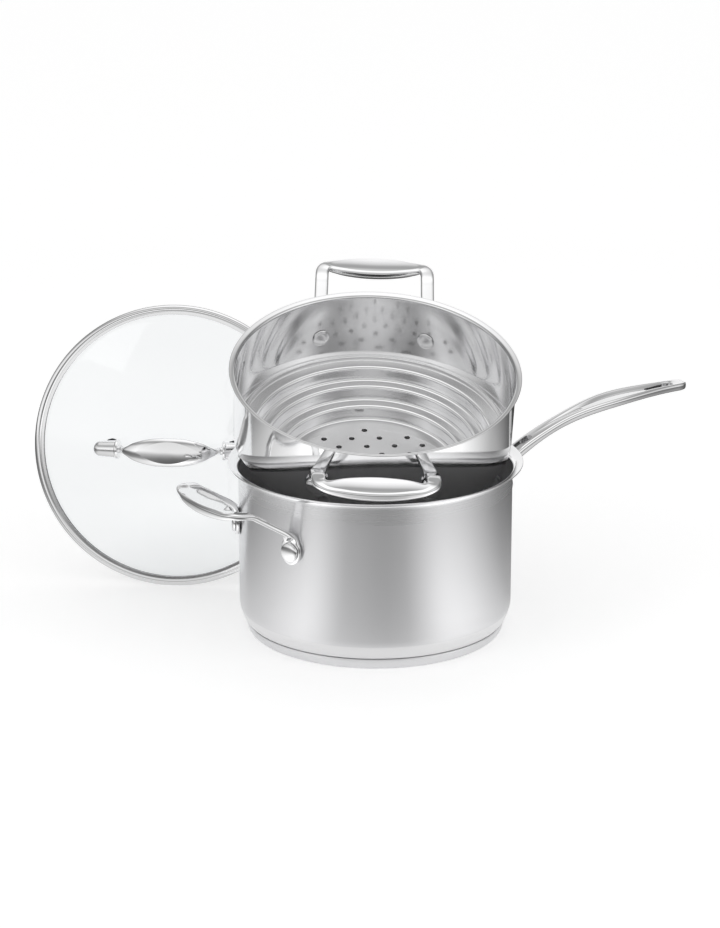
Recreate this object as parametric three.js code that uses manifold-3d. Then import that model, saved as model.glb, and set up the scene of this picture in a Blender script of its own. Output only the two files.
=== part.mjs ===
// Saucepan with a steamer insert and a glass lid, all in millimetres with +Z up.
// The origin is the centre of the saucepan's underside, and +X runs out along its long handle.
// The set is laid out as it stands on a counter: the steamer rests tilted on the saucepan's rim,
// and the lid stands on its edge beside them.
import * as THREE from 'three';
import { mergeVertices } from 'three/addons/utils/BufferGeometryUtils.js';
import Module from 'manifold-3d';

const wasm = await Module();
wasm.setup();

// Fits and facets
const SEAT = 0.3;              // gap kept between pieces that touch
const TURN_STEPS = 36;         // facets around the vessels and the lid
const SMALL_STEPS = 12;        // facets around rivets, screws and bosses
const HOLE_STEPS = 6;          // facets around a drain hole

// Saucepan
const POT_RADIUS = 101;        // outside of the straight wall
const POT_HEIGHT = 129;        // counter to the top of the lip
const POT_WALL = 1.0;
const POT_FLOOR = 1.2;
const POT_LIP = 7.4;           // how far the pouring lip stands out past the wall
const POT_LIP_BEND = 5;        // radius of the bend below its flat part
const POT_FOOT_CURVE = 25;     // outside radius where the wall turns under
const POT_INSIDE_CURVE = 18;
const LIP_SWEEP = 75;          // degrees that a lip turns outwards

// Bonded base under the saucepan
const BASE_HEIGHT = 8;         // counter to the groove above the base cap
const BASE_INSET = 5;          // wall of the saucepan to the groove
const BASE_CAP_WALL = 0.8;
const BASE_CAP_TAPER = 2.6;    // how far the cap draws in towards the counter

// Steamer insert, measured downwards from the top of its lip
const STEAMER_OVERHANG = 3.6;  // outside of its wall past the inside of the saucepan, to rest on the lip
const STEAMER_WALL = 1.0;
const STEAMER_LIP = 3.6;
const STEAMER_LIP_BEND = 2;
const STEAMER_WALL_DEPTH = 57.5;
const STEP_CLEARANCE = 11;     // first stepped ridge to the inside of the saucepan
const STEP_WIDTHS = [9.5, 10]; // shelves between one ridge and the next
const STEP_DEPTH = 11.5;
const STEP_CURVE = 3.5;
const HOLE_DIAMETER = 4.4;
const HOLE_PITCH = 21.2;       // side of the centred square that the drain holes follow
const HOLE_TURN = 4.9;         // degrees of the pattern about the steamer's axis
const HOLE_MARGIN = 14;        // edge of the floor kept free of drain holes

// How the steamer leans in the saucepan
const VIEW_TURN = -31;         // degrees about Z of the set's front
const STEAMER_TILT = 18.4;     // degrees, front down
const STEAMER_ROLL = 2.2;      // degrees, right side down
const STEAMER_SET_BACK = 9.8;  // towards the back of the set

// Cast loop handle, shared by the saucepan's helper and both steamer handles
const LOOP_RIVET_ANGLE = 23;   // degrees from the middle of the handle to a rivet
const LOOP_WIDTH = 91;
const LOOP_REACH = 47;         // rivet to the middle of the grip, outwards
const LOOP_RISE = 34;          // rivet to the middle of the grip, upwards
const LOOP_ARM = 16;           // bend at the top of a leg to the middle of the grip, outwards
const ARM_RISE = 2.7;          // the same, upwards
const LEG_WIDTH = 10;
const LEG_THICKNESS = 4.6;
const TAB_MARGIN = 1.4;        // round a rivet's head
const TAB_THICKNESS = 3.2;
const GRIP_WIDTH = 22;
const GRIP_THICKNESS = 10.5;
const HELPER_RIVET_DEPTH = 43.5; // below the top of the saucepan's lip
const STEAMER_RIVET_DEPTH = 35;

// Rivets
const RIVET_SHANK = 2.5;       // radius
const RIVET_HEAD = 7.2;        // radius of the domed outer head
const RIVET_DOME = 2.8;
const RIVET_INNER_HEAD = 6.6;
const RIVET_INNER_DOME = 1.5;

// Long handle
const HANDLE_LENGTH = 179;     // wall to the end of the handle
const HANDLE_ROOT_DEPTH = 30.5; // below the top of the saucepan's lip
const HANDLE_RISE = 46.5;      // root to the end, upwards
const HANDLE_ROOT_WIDTH = 18.8;
const HANDLE_WIDTH = 25;
const HANDLE_NECK_WIDTH = 15;
const HANDLE_END_WIDTH = 15;
const HANDLE_THICKNESS = 8;
const HANDLE_SCOOP = 2.4;      // depth of the long hollow in the top
const PLATE_MARGIN = 0.8;      // past a rivet's head, along the plate
const PLATE_HEIGHT = 20;
const PLATE_THICKNESS = 3.4;
const PLATE_CLEARANCE = 0.4;   // between a rivet's head and the arm
const HANG_SLOT_LENGTH = 26;
const HANG_SLOT_WIDTH = 8;
const HANG_SLOT_MARGIN = 10;   // end of the handle to the slot
const ROOT_OPENING_LENGTH = 16;
const ROOT_OPENING_WIDTH = 7.4;
const ROOT_OPENING_REACH = 29; // wall to the middle of the opening

// Lid
const LID_OVERHANG = 0.6;      // outside of the steel band past the saucepan's lip
const LID_BAND_WIDTH = 7.6;
const LID_BAND_WALL = 0.8;
const LID_SEAT_DROP = 3;       // step under the band that locates it in a rim
const GLASS_THICKNESS = 4;
const GLASS_DOME = 18;
const GLASS_EDGE = 3.4;        // width of glass held inside the band
const LID_LEAN = 10.5;         // degrees back from upright
const LID_TURN = -3.5;         // degrees that it faces away from the set's front
const LID_EDGE_OFFSET = 45;    // its near edge, measured left of the saucepan's middle
const LID_STAND_OFF = 0.5;     // clear of the saucepan's lip

// Lid handle
const FOOT_SPACING = 95;       // between the two screws
const FOOT_LENGTH = 20.5;
const FOOT_RADIUS = 7.5;
const FOOT_TIP_RADIUS = 5.6;
const BOSS_RISE = 1.5;         // boss seen between the pad and the foot
const FOOT_SOCKET_DEPTH = 6;
const BOSS_RADIUS = 4.6;
const PAD_THICKNESS = 1.5;
const PAD_RADIUS = 5;
const SCREW_RADIUS = 2.2;
const SCREW_GRIP = 5;          // thread inside the foot
const SCREW_HEAD_RADIUS = 4.4;
const SCREW_HEAD_HEIGHT = 2.2;
const WASHER_THICKNESS = 1.4;
const WASHER_RADIUS = 6.5;
const NECK_RADIUS = 2.9;
const LID_GRIP_WIDTH = 22;
const LID_GRIP_THICKNESS = 8;
const LID_GRIP_RISE = 16;      // foot's axis to the middle of the grip

const radians = THREE.MathUtils.degToRad;
const UP = new THREE.Vector3(0, 0, 1);
const ALONG = new THREE.Vector3(1, 0, 0);

// Materials
function metal(color, roughness) {
  return new THREE.MeshStandardMaterial({ color, roughness, metalness: 1 });
}
const brushedSteel = metal('#c9cacb', 0.32);
const polishedSteel = metal('#d8d9da', 0.08);
const castSteel = metal('#d2d3d4', 0.14);
const aluminium = metal('#b9bcc0', 0.5);
const clearGlass = new THREE.MeshStandardMaterial({ color: '#eef3f4', roughness: 0.03, metalness: 0 });
const silicone = new THREE.MeshStandardMaterial({ color: '#3b3d40', roughness: 0.7, metalness: 0 });

// Closed solids

// Gives a geometry shared vertices, no empty triangles and faces that point outwards.
function closed(geometry) {
  const bare = geometry.clone();
  bare.deleteAttribute('normal');
  bare.deleteAttribute('uv');
  const merged = mergeVertices(bare, 1e-3);
  const corner = merged.index.array;
  const kept = [];
  for (let i = 0; i < corner.length; i += 3) {
    const [a, b, c] = [corner[i], corner[i + 1], corner[i + 2]];
    if (a !== b && b !== c && c !== a) kept.push(a, b, c);
  }
  if (signedVolume(merged.getAttribute('position'), kept) < 0) kept.reverse();
  merged.setIndex(kept);
  return merged;
}

function signedVolume(position, corners) {
  const [a, b, c] = [new THREE.Vector3(), new THREE.Vector3(), new THREE.Vector3()];
  let volume = 0;
  for (let i = 0; i < corners.length; i += 3) {
    a.fromBufferAttribute(position, corners[i]);
    b.fromBufferAttribute(position, corners[i + 1]);
    c.fromBufferAttribute(position, corners[i + 2]);
    volume += a.dot(b.cross(c)) / 6;
  }
  return volume;
}

function toManifold(geometry) {
  const vertProperties = new Float32Array(geometry.getAttribute('position').array);
  const triVerts = new Uint32Array(geometry.index.array);
  return new wasm.Manifold(new wasm.Mesh({ numProp: 3, vertProperties, triVerts }));
}

function fromManifold(body) {
  const mesh = body.getMesh();
  const geometry = new THREE.BufferGeometry();
  geometry.setAttribute('position', new THREE.BufferAttribute(mesh.vertProperties, 3));
  geometry.setIndex(new THREE.BufferAttribute(mesh.triVerts, 1));
  return geometry;
}

function cut(geometry, cutters) {
  let body = toManifold(geometry);
  for (const cutter of cutters) body = body.subtract(toManifold(cutter));
  return fromManifold(body);
}

function joined(first, second) {
  return fromManifold(toManifold(first).add(toManifold(second)));
}

// Turns a profile of [radius, height] points about Z.
function turned(profile, steps = TURN_STEPS) {
  const points = profile.map(([radius, height]) => new THREE.Vector2(radius, height));
  return closed(new THREE.LatheGeometry(points, steps).rotateX(Math.PI / 2));
}

// A ring's profile closes on itself.
function turnedRing(profile, steps = TURN_STEPS) {
  return turned([...profile, profile[0]], steps);
}

// Points of an arc about a centre, from one angle to another in degrees.
function arc([x, y], radius, from, to, pieces) {
  const points = [];
  for (let i = 0; i <= pieces; i += 1) {
    const angle = radians(from + ((to - from) * i) / pieces);
    points.push([x + radius * Math.cos(angle), y + radius * Math.sin(angle)]);
  }
  return points;
}

// A skin over rings of points, with both ends closed.
function loft(rings) {
  const count = rings[0].length;
  const points = rings.flat();
  const corners = [];
  for (let ring = 0; ring + 1 < rings.length; ring += 1) {
    for (let i = 0; i < count; i += 1) {
      const a = ring * count + i;
      const b = ring * count + ((i + 1) % count);
      corners.push(a, b, b + count, a, b + count, a + count);
    }
  }
  for (const ring of [0, rings.length - 1]) {
    const middle = rings[ring].reduce((sum, point) => sum.add(point), new THREE.Vector3());
    const centre = points.push(middle.divideScalar(count)) - 1;
    for (let i = 0; i < count; i += 1) {
      const a = ring * count + i;
      const b = ring * count + ((i + 1) % count);
      if (ring === 0) corners.push(b, a, centre);
      else corners.push(a, b, centre);
    }
  }
  const geometry = new THREE.BufferGeometry().setFromPoints(points);
  geometry.setIndex(corners);
  return closed(geometry);
}

// A cylinder along a direction, from one distance to another past a point.
function rod(point, direction, from, to, radius, steps = SMALL_STEPS) {
  const geometry = new THREE.CylinderGeometry(radius, radius, to - from, steps);
  geometry.translate(0, (from + to) / 2, 0);
  const lengthwise = new THREE.Vector3(0, 1, 0);
  geometry.applyQuaternion(new THREE.Quaternion().setFromUnitVectors(lengthwise, direction));
  geometry.translate(point.x, point.y, point.z);
  return closed(geometry);
}

function smoothStep(x) {
  const t = THREE.MathUtils.clamp(x, 0, 1);
  return t * t * (3 - 2 * t);
}

// Value at x on a smooth line through [x, value] pairs.
function through(pairs, x) {
  let k = 0;
  while (k + 2 < pairs.length && x > pairs[k + 1][0]) k += 1;
  const [[x0, v0], [x1, v1]] = [pairs[k], pairs[k + 1]];
  return v0 + (v1 - v0) * smoothStep((x - x0) / (x1 - x0));
}

// Vessel walls

// Outside and inside of a lip above a wall, from the wall up to the edge: a bend and a flat part past it.
function lip(wallRadius, wall, reach, bend, top) {
  const sweep = radians(LIP_SWEEP);
  const flat = (reach - bend * (1 - Math.cos(sweep))) / Math.sin(sweep);
  const [run, rise] = [flat * Math.sin(sweep), flat * Math.cos(sweep)];
  const start = top - rise - (bend + wall) * Math.sin(sweep);
  const face = (radius) => {
    const curve = arc([wallRadius + bend, start], radius, 180, 180 - LIP_SWEEP, 4);
    const [x, y] = curve.at(-1);
    return [...curve, [x + run, y + rise]];
  };
  return { outside: face(bend), inside: face(bend + wall), start };
}

const potInner = POT_RADIUS - POT_WALL;
const potRim = POT_RADIUS + POT_LIP;
const potUnder = BASE_HEIGHT + SEAT;
const baseRadius = POT_RADIUS - BASE_INSET;
const potLip = lip(POT_RADIUS, POT_WALL, POT_LIP, POT_LIP_BEND, POT_HEIGHT);

// The saucepan's wall turns under on an arc that ends at the base.
const footTurn = Math.acos(1 - BASE_INSET / POT_FOOT_CURVE);
const footCentre = [POT_RADIUS - POT_FOOT_CURVE, potUnder + POT_FOOT_CURVE * Math.sin(footTurn)];

function potProfile() {
  const floor = potUnder + POT_FLOOR;
  const curveCentre = [potInner - POT_INSIDE_CURVE, floor + POT_INSIDE_CURVE];
  return [
    [0, potUnder],
    ...arc(footCentre, POT_FOOT_CURVE, -THREE.MathUtils.radToDeg(footTurn), 0, 4),
    ...potLip.outside,
    ...potLip.inside.toReversed(),
    ...arc(curveCentre, POT_INSIDE_CURVE, 0, -90, 4),
    [0, floor],
  ];
}

const steamerRadius = potInner + STEAMER_OVERHANG;
const steamerInner = steamerRadius - STEAMER_WALL;
const steamerLip = lip(steamerRadius, STEAMER_WALL, STEAMER_LIP, STEAMER_LIP_BEND, 0);
const stepRadii = [potInner - STEP_CLEARANCE];
for (const width of STEP_WIDTHS) stepRadii.push(stepRadii.at(-1) - width);
const steamerDepth = STEAMER_WALL_DEPTH + stepRadii.length * STEP_DEPTH;

// Steamer from its floor up to the wall: each ridge is a short upright with a shelf above it.
function stepOutline(inset) {
  const radii = stepRadii.map((radius) => radius - inset);
  const points = [];
  for (let step = radii.length - 1; step >= 0; step -= 1) {
    const foot = -(STEAMER_WALL_DEPTH + (step + 1) * STEP_DEPTH) + inset;
    const bottom = [radii[step] - STEP_CURVE + inset, foot + STEP_CURVE - inset];
    points.push(...arc(bottom, STEP_CURVE - inset, -90, 0, 2));
    const shelf = -(STEAMER_WALL_DEPTH + step * STEP_DEPTH) + inset;
    const crook = [radii[step] + STEP_CURVE / 2 + inset, shelf - STEP_CURVE / 2 - inset];
    points.push(...arc(crook, STEP_CURVE / 2 + inset, 180, 90, 1));
  }
  return points;
}

function steamerProfile() {
  const shelf = -STEAMER_WALL_DEPTH;
  const shoulder = [steamerRadius - STEP_CURVE / 2, shelf + STEP_CURVE / 2];
  const outsideShoulder = arc(shoulder, STEP_CURVE / 2, -90, 0, 1);
  const insideShoulder = arc(shoulder, STEP_CURVE / 2 - STEAMER_WALL, -90, 0, 1);
  return {
    outside: [[0, -steamerDepth], ...stepOutline(0), ...outsideShoulder, ...steamerLip.outside],
    inside: [
      [0, STEAMER_WALL - steamerDepth], ...stepOutline(STEAMER_WALL), ...insideShoulder, ...steamerLip.inside,
    ],
  };
}

// Drain holes on a centred square pattern, with the steamer's axis between four of them
function drainHoles() {
  const cutters = [];
  const field = stepRadii.at(-1) - HOLE_MARGIN;
  const reach = Math.ceil(field / HOLE_PITCH);
  for (const [shiftX, shiftY] of [[0.5, 0], [0, 0.5]]) {
    for (let i = -reach; i <= reach; i += 1) {
      for (let j = -reach; j <= reach; j += 1) {
        const [x, y] = [(i + shiftX) * HOLE_PITCH, (j + shiftY) * HOLE_PITCH];
        if (Math.hypot(x, y) > field) continue;
        const point = new THREE.Vector3(x, y, -steamerDepth).applyAxisAngle(UP, radians(HOLE_TURN));
        cutters.push(rod(point, UP, -1, STEAMER_WALL + 1, HOLE_DIAMETER / 2, HOLE_STEPS));
      }
    }
  }
  return cutters;
}

// Rivets

// A rivet along a direction through a vessel's wall; the faces are distances from the vessel's axis.
function rivet(point, direction, innerFace, outerFace) {
  const profile = [
    [0, innerFace - RIVET_INNER_DOME],
    [RIVET_INNER_HEAD * 0.6, innerFace - RIVET_INNER_DOME * 0.85],
    [RIVET_INNER_HEAD, innerFace - RIVET_INNER_DOME * 0.35],
    [RIVET_INNER_HEAD, innerFace],
    [RIVET_SHANK, innerFace],
    [RIVET_SHANK, outerFace],
    [RIVET_HEAD, outerFace],
    [RIVET_HEAD * 0.94, outerFace + RIVET_DOME * 0.45],
    [RIVET_HEAD * 0.6, outerFace + RIVET_DOME * 0.88],
    [0, outerFace + RIVET_DOME],
  ];
  const geometry = turned(profile, SMALL_STEPS);
  geometry.applyQuaternion(new THREE.Quaternion().setFromUnitVectors(UP, direction));
  geometry.translate(point.x, point.y, point.z);
  return geometry;
}

function rivetHole(point, direction, from, to) {
  return rod(point, direction, from, to, RIVET_SHANK + SEAT);
}

const tabRadius = RIVET_HEAD + TAB_MARGIN;

// A flat rivet head inside a faceted round wall stands off its facets, out to the head's own edge.
function insideFace(wallInner, offset) {
  const facet = wallInner * Math.cos(Math.PI / TURN_STEPS);
  return Math.sqrt(facet ** 2 - (offset + RIVET_INNER_HEAD) ** 2) - SEAT;
}

// Handle sections

// A soft-cornered section about a centre: across runs sideways, down is the thick direction.
function softSection(centre, across, down, halfWidth, above, below, count) {
  const ring = [];
  for (let i = 0; i < count; i += 1) {
    const angle = (2 * Math.PI * i) / count;
    const [c, s] = [Math.cos(angle), Math.sin(angle)];
    const x = halfWidth * Math.sign(c) * Math.abs(c) ** 0.75;
    const y = (s > 0 ? below : above) * Math.sign(s) * Math.abs(s) ** 0.75;
    ring.push(centre.clone().addScaledVector(across, x).addScaledVector(down, y));
  }
  return ring;
}

// A bar along stations of { point, down, halfWidth, above, below }.
function bar(stations, count = 12) {
  const path = new THREE.CatmullRomCurve3(stations.map(({ point }) => point), false, 'centripetal');
  const rings = stations.map(({ point, down, halfWidth, above, below }, i) => {
    const along = path.getTangent(i / (stations.length - 1));
    const square = down.clone().addScaledVector(along, -down.dot(along)).normalize();
    const across = new THREE.Vector3().crossVectors(along, square);
    return softSection(point, across, square, halfWidth, above, below, count);
  });
  return loft(rings);
}

function mirrored({ point, down, ...rest }) {
  const flip = new THREE.Vector3(-1, 1, 1);
  return { point: point.clone().multiply(flip), down: down.clone().multiply(flip), ...rest };
}

// Cast loop handle: x runs along the grip, y outwards from the vessel's axis, z up from the rivets.
function loopHandle(wallRadius) {
  const turn = radians(LOOP_RIVET_ANGLE);
  const outwards = new THREE.Vector3(Math.sin(turn), Math.cos(turn), 0);
  const tab = outwards.clone().multiplyScalar(wallRadius + SEAT + TAB_THICKNESS / 2);
  const legSide = LOOP_WIDTH / 2 - LEG_WIDTH / 2;
  const legStart = tabRadius + LEG_THICKNESS * 0.7;
  const elbow = LOOP_REACH - LOOP_ARM;
  const elbowRise = LOOP_RISE - ARM_RISE;
  const under = new THREE.Vector3(0, 0, -1);
  const legDown = new THREE.Vector3(0, 1, -1).normalize();
  const station = (x, reach, rise, down, width, thickness, belly = thickness / 2) => ({
    point: new THREE.Vector3(x, tab.y + reach, rise),
    down,
    halfWidth: width / 2,
    above: thickness - belly,
    below: belly,
  });
  const onTab = (rise, width) => station(
    tab.x, 0, tabRadius * rise, outwards, tabRadius * width, TAB_THICKNESS,
  );
  const onLeg = (share, down) => station(
    tab.x + (legSide - tab.x) * share, elbow * share, legStart + (elbowRise - legStart) * share,
    down, LEG_WIDTH, LEG_THICKNESS,
  );
  const onArm = (side, fromGrip, rise, thickness) => station(
    legSide * side, LOOP_REACH - LEG_WIDTH * fromGrip, LOOP_RISE - ARM_RISE * rise, under,
    LEG_WIDTH, LEG_THICKNESS * thickness,
  );
  const onGrip = (share, width, thickness) => station(
    legSide * share, LOOP_REACH, LOOP_RISE, under,
    GRIP_WIDTH * width, GRIP_THICKNESS * thickness, GRIP_THICKNESS * thickness * 0.72,
  );
  const half = [
    onTab(-1.1, 0.6),
    onTab(-0.85, 1.3),
    onTab(-0.4, 1.86),
    onTab(0, 2),
    onTab(0.6, 1.8),
    station(tab.x, LEG_THICKNESS * 0.1, legStart * 0.85, outwards, LEG_WIDTH * 1.1, LEG_THICKNESS * 0.85),
    onLeg(0.2, legDown),
    onLeg(0.55, legDown),
    onLeg(0.9, legDown),
    station(legSide, elbow + LEG_THICKNESS * 0.5, elbowRise + ARM_RISE * 0.4, under, LEG_WIDTH, LEG_THICKNESS),
    onArm(0.99, 0.62, 0.2, 1),
    onArm(0.93, 0.18, 0, 1.1),
    onGrip(0.8, 0.55, 0.62),
    onGrip(0.55, 0.8, 0.84),
    onGrip(0.27, 0.96, 0.96),
  ];
  const middle = onGrip(0, 1, 1);
  const geometry = bar([...half, middle, ...half.toReversed().map(mirrored)]);
  const directions = [outwards, new THREE.Vector3(-outwards.x, outwards.y, 0)];
  const [axis, from, to] = [new THREE.Vector3(), wallRadius - tabRadius, wallRadius + tabRadius];
  const holes = directions.map((direction) => rivetHole(axis, direction, from, to));
  return { geometry: cut(geometry, holes), directions };
}

// A loop handle with its two rivets, turned about the vessel's axis and raised to its rivets' height.
function loopSet(prefix, wallRadius, wallInner, angle, height) {
  const { geometry, directions } = loopHandle(wallRadius);
  const axis = new THREE.Vector3(0, 0, height);
  const turnedWays = directions.map((direction) => direction.clone().applyAxisAngle(UP, radians(angle)));
  const outerFace = wallRadius + TAB_THICKNESS + 2 * SEAT;
  const rivets = turnedWays.map((way) => rivet(axis, way, insideFace(wallInner, 0), outerFace));
  return {
    handle: [`${prefix}_handle`, geometry.rotateZ(radians(angle)).translate(0, 0, height), castSteel],
    rivets: rivets.map((shape, i) => [`${prefix}_rivet_${['left', 'right'][i]}`, shape, polishedSteel]),
    holes: turnedWays.map((way) => rivetHole(axis, way, wallInner - tabRadius, wallRadius + tabRadius)),
  };
}

// Long handle

// A flat shape with round ends, centred, long in x.
function stadium(length, width) {
  const shape = new THREE.Shape();
  const straight = (length - width) / 2;
  shape.absarc(straight, 0, width / 2, -Math.PI / 2, Math.PI / 2);
  shape.absarc(-straight, 0, width / 2, Math.PI / 2, (3 * Math.PI) / 2);
  return shape;
}

function extruded(shape, depth) {
  return new THREE.ExtrudeGeometry(shape, { depth, bevelEnabled: false, curveSegments: 6 });
}

const handleRoot = POT_HEIGHT - HANDLE_ROOT_DEPTH;
const handleRivetSpacing = HANDLE_ROOT_WIDTH + 2 * (PLATE_CLEARANCE + RIVET_HEAD);
const plateWidth = handleRivetSpacing + 2 * (RIVET_HEAD + PLATE_MARGIN);

// Centre line of the long handle: it leaves the wall steeply and levels out towards its end.
function handleHeight(share) {
  return handleRoot + HANDLE_RISE * (1 - (1 - share) ** 3);
}

function handleSlope(share) {
  return Math.atan((3 * HANDLE_RISE * (1 - share) ** 2) / HANDLE_LENGTH);
}

function handleRing(share) {
  const neck = [[0.13, HANDLE_NECK_WIDTH], [0.32, HANDLE_NECK_WIDTH]];
  const end = [[0.97, HANDLE_END_WIDTH], [1, HANDLE_END_WIDTH * 0.72]];
  const width = through([[0, HANDLE_ROOT_WIDTH], ...neck, [0.64, HANDLE_WIDTH], ...end], share);
  const thickness = HANDLE_THICKNESS * through(
    [[0, 1.6], [0.13, 1.05], [0.28, 0.9], [0.58, 1], [1, 0.85]], share,
  );
  const scoop = HANDLE_SCOOP * through([[0, 0], [0.26, 0], [0.45, 1], [0.88, 1], [0.97, 0], [1, 0]], share);
  const [a, b] = [width / 2, thickness / 2];
  const outline = [
    [-0.84 * a, b], [-a, 0.5 * b], [-0.93 * a, -0.4 * b], [-0.55 * a, -0.9 * b], [0, -b],
    [0.55 * a, -0.9 * b], [0.93 * a, -0.4 * b], [a, 0.5 * b], [0.84 * a, b],
    [0.42 * a, b - scoop], [-0.42 * a, b - scoop],
  ];
  const start = POT_RADIUS + 2 * SEAT;
  const reach = start + (POT_RADIUS + HANDLE_LENGTH - start) * share;
  const lean = handleSlope(share) * smoothStep(share / 0.15);
  return outline.map(([y, z]) => new THREE.Vector3(
    reach - z * Math.sin(lean), y, handleHeight(share) + z * Math.cos(lean),
  ));
}

// Shares of the handle's length where its section is drawn
const HANDLE_SHARES = [
  0, 0.05, 0.1, 0.16, 0.22, 0.28, 0.34, 0.4, 0.48, 0.58, 0.68, 0.78, 0.88, 0.93, 0.97, 0.99, 1,
];

function longHandle() {
  const arm = loft(HANDLE_SHARES.map(handleRing));
  const plate = extruded(stadium(plateWidth, PLATE_HEIGHT), PLATE_THICKNESS);
  plate.rotateX(Math.PI / 2).rotateZ(Math.PI / 2).translate(POT_RADIUS + SEAT, 0, handleRoot);
  const tall = POT_HEIGHT;
  const end = POT_RADIUS + HANDLE_LENGTH;
  const slot = extruded(stadium(HANG_SLOT_LENGTH, HANG_SLOT_WIDTH), tall);
  slot.translate(end - HANG_SLOT_MARGIN - HANG_SLOT_LENGTH / 2, 0, handleRoot);
  const opening = extruded(stadium(ROOT_OPENING_LENGTH, ROOT_OPENING_WIDTH), tall);
  opening.translate(POT_RADIUS + ROOT_OPENING_REACH, 0, handleRoot - tall / 2);
  const rivetHoles = handleRivetPoints().map(
    (point) => rivetHole(point, ALONG, potInner - PLATE_HEIGHT, POT_RADIUS + PLATE_HEIGHT),
  );
  return cut(joined(arm, closed(plate)), [closed(slot), closed(opening), ...rivetHoles]);
}

function handleRivetPoints() {
  return [1, -1].map((side) => new THREE.Vector3(0, (side * handleRivetSpacing) / 2, handleRoot));
}

// Saucepan

function saucepan() {
  const helper = loopSet('helper', POT_RADIUS, potInner, 90, POT_HEIGHT - HELPER_RIVET_DEPTH);
  const handleHoles = handleRivetPoints().map(
    (point) => rivetHole(point, ALONG, potInner - PLATE_HEIGHT, POT_RADIUS + PLATE_HEIGHT),
  );
  const body = cut(turned(potProfile()), [...helper.holes, ...handleHoles]);
  const outerFace = POT_RADIUS + PLATE_THICKNESS + 2 * SEAT;
  const handleRivets = handleRivetPoints().map((point, i) => {
    const shape = rivet(point, ALONG, insideFace(potInner, handleRivetSpacing / 2), outerFace);
    return [`long_handle_rivet_${['left', 'right'][i]}`, shape, polishedSteel];
  });
  return [
    ['pot_body', body, brushedSteel],
    ['base_core', turned(coreProfile()), aluminium],
    ['base_cap', turned(capProfile()), brushedSteel],
    ['long_handle', longHandle(), castSteel],
    ...handleRivets,
    helper.handle,
    ...helper.rivets,
  ];
}

// The base cap is a shallow steel cup, and the aluminium core fills it up to the saucepan's underside.
const capBottomRadius = baseRadius - BASE_CAP_TAPER;

function capProfile() {
  const inside = BASE_CAP_WALL;
  return [
    [0, 0],
    [capBottomRadius - inside, 0],
    [capBottomRadius + BASE_CAP_TAPER * 0.3, BASE_HEIGHT * 0.12],
    [capBottomRadius + BASE_CAP_TAPER * 0.75, BASE_HEIGHT * 0.45],
    [baseRadius, BASE_HEIGHT],
    [baseRadius - inside, BASE_HEIGHT],
    [capBottomRadius + BASE_CAP_TAPER * 0.75 - inside, BASE_HEIGHT * 0.45],
    [capBottomRadius - inside, inside],
    [0, inside],
  ];
}

function coreProfile() {
  const clear = BASE_CAP_WALL + SEAT;
  const waist = capBottomRadius + BASE_CAP_TAPER * 0.75 - BASE_CAP_WALL - 2 * SEAT;
  return [
    [0, clear],
    [capBottomRadius - clear - 2 * SEAT, clear],
    [waist, BASE_HEIGHT * 0.45],
    [baseRadius - clear - SEAT, BASE_HEIGHT],
    [0, BASE_HEIGHT],
  ];
}

// Steamer

function steamer() {
  const front = loopSet('steamer_front', steamerRadius, steamerInner, 180, -STEAMER_RIVET_DEPTH);
  const rear = loopSet('steamer_rear', steamerRadius, steamerInner, 0, -STEAMER_RIVET_DEPTH);
  const { outside, inside } = steamerProfile();
  const shell = turned([...outside, ...inside.toReversed()]);
  const body = cut(shell, [...front.holes, ...rear.holes, ...drainHoles()]);
  return [
    ['steamer_body', body, polishedSteel],
    front.handle,
    ...front.rivets,
    rear.handle,
    ...rear.rivets,
  ];
}

// Lid: z points out of its top face, x along its handle.

const lidRadius = potRim + LID_OVERHANG;
const bandInner = lidRadius - LID_BAND_WIDTH;
const glassRadius = bandInner + GLASS_EDGE;
const domeRim = bandInner - 1;
const domeRadius = (domeRim ** 2 + GLASS_DOME ** 2) / (2 * GLASS_DOME);

// Height of the glass's top face
function glassTop(radius) {
  return GLASS_THICKNESS + Math.sqrt(domeRadius ** 2 - radius ** 2) - (domeRadius - GLASS_DOME);
}

function glassProfile() {
  const pieces = 7;
  const dome = [];
  for (let i = 0; i <= pieces; i += 1) {
    const radius = (domeRim * i) / pieces;
    dome.push([radius, glassTop(radius)]);
  }
  const under = dome.map(([radius, height]) => [radius, height - GLASS_THICKNESS]);
  return [...under, [glassRadius, 0], [glassRadius, GLASS_THICKNESS], ...dome.toReversed()];
}

function bandProfile() {
  const [low, high] = [-SEAT, GLASS_THICKNESS + SEAT];
  const [bottom, top] = [low - LID_BAND_WALL, high + LID_BAND_WALL];
  const groove = glassRadius + SEAT;
  return [
    [bandInner, high],
    [bandInner, top],
    [lidRadius - LID_BAND_WIDTH * 0.3, top],
    [lidRadius - LID_BAND_WIDTH * 0.08, top - LID_BAND_WALL],
    [lidRadius, (top + bottom) / 2],
    [lidRadius - LID_BAND_WIDTH * 0.1, bottom],
    [bandInner + LID_BAND_WALL * 2.2, bottom],
    [bandInner + LID_BAND_WALL * 2, low - LID_SEAT_DROP],
    [bandInner + LID_BAND_WALL / 2, low - LID_SEAT_DROP],
    [bandInner, low],
    [groove, low],
    [groove, high],
  ];
}

// Heights of the stack at a foot, measured out of the glass's top face
const footReach = FOOT_SPACING / 2;
const footTilt = Math.asin(footReach / domeRadius);
const footUnder = PAD_THICKNESS + 2 * SEAT;
const footAxis = footUnder + BOSS_RISE + FOOT_RADIUS;
const glassUnder = -GLASS_THICKNESS * Math.cos(footTilt);
const washerTop = glassUnder - SEAT;
const screwFace = washerTop - WASHER_THICKNESS - SEAT;

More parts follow.
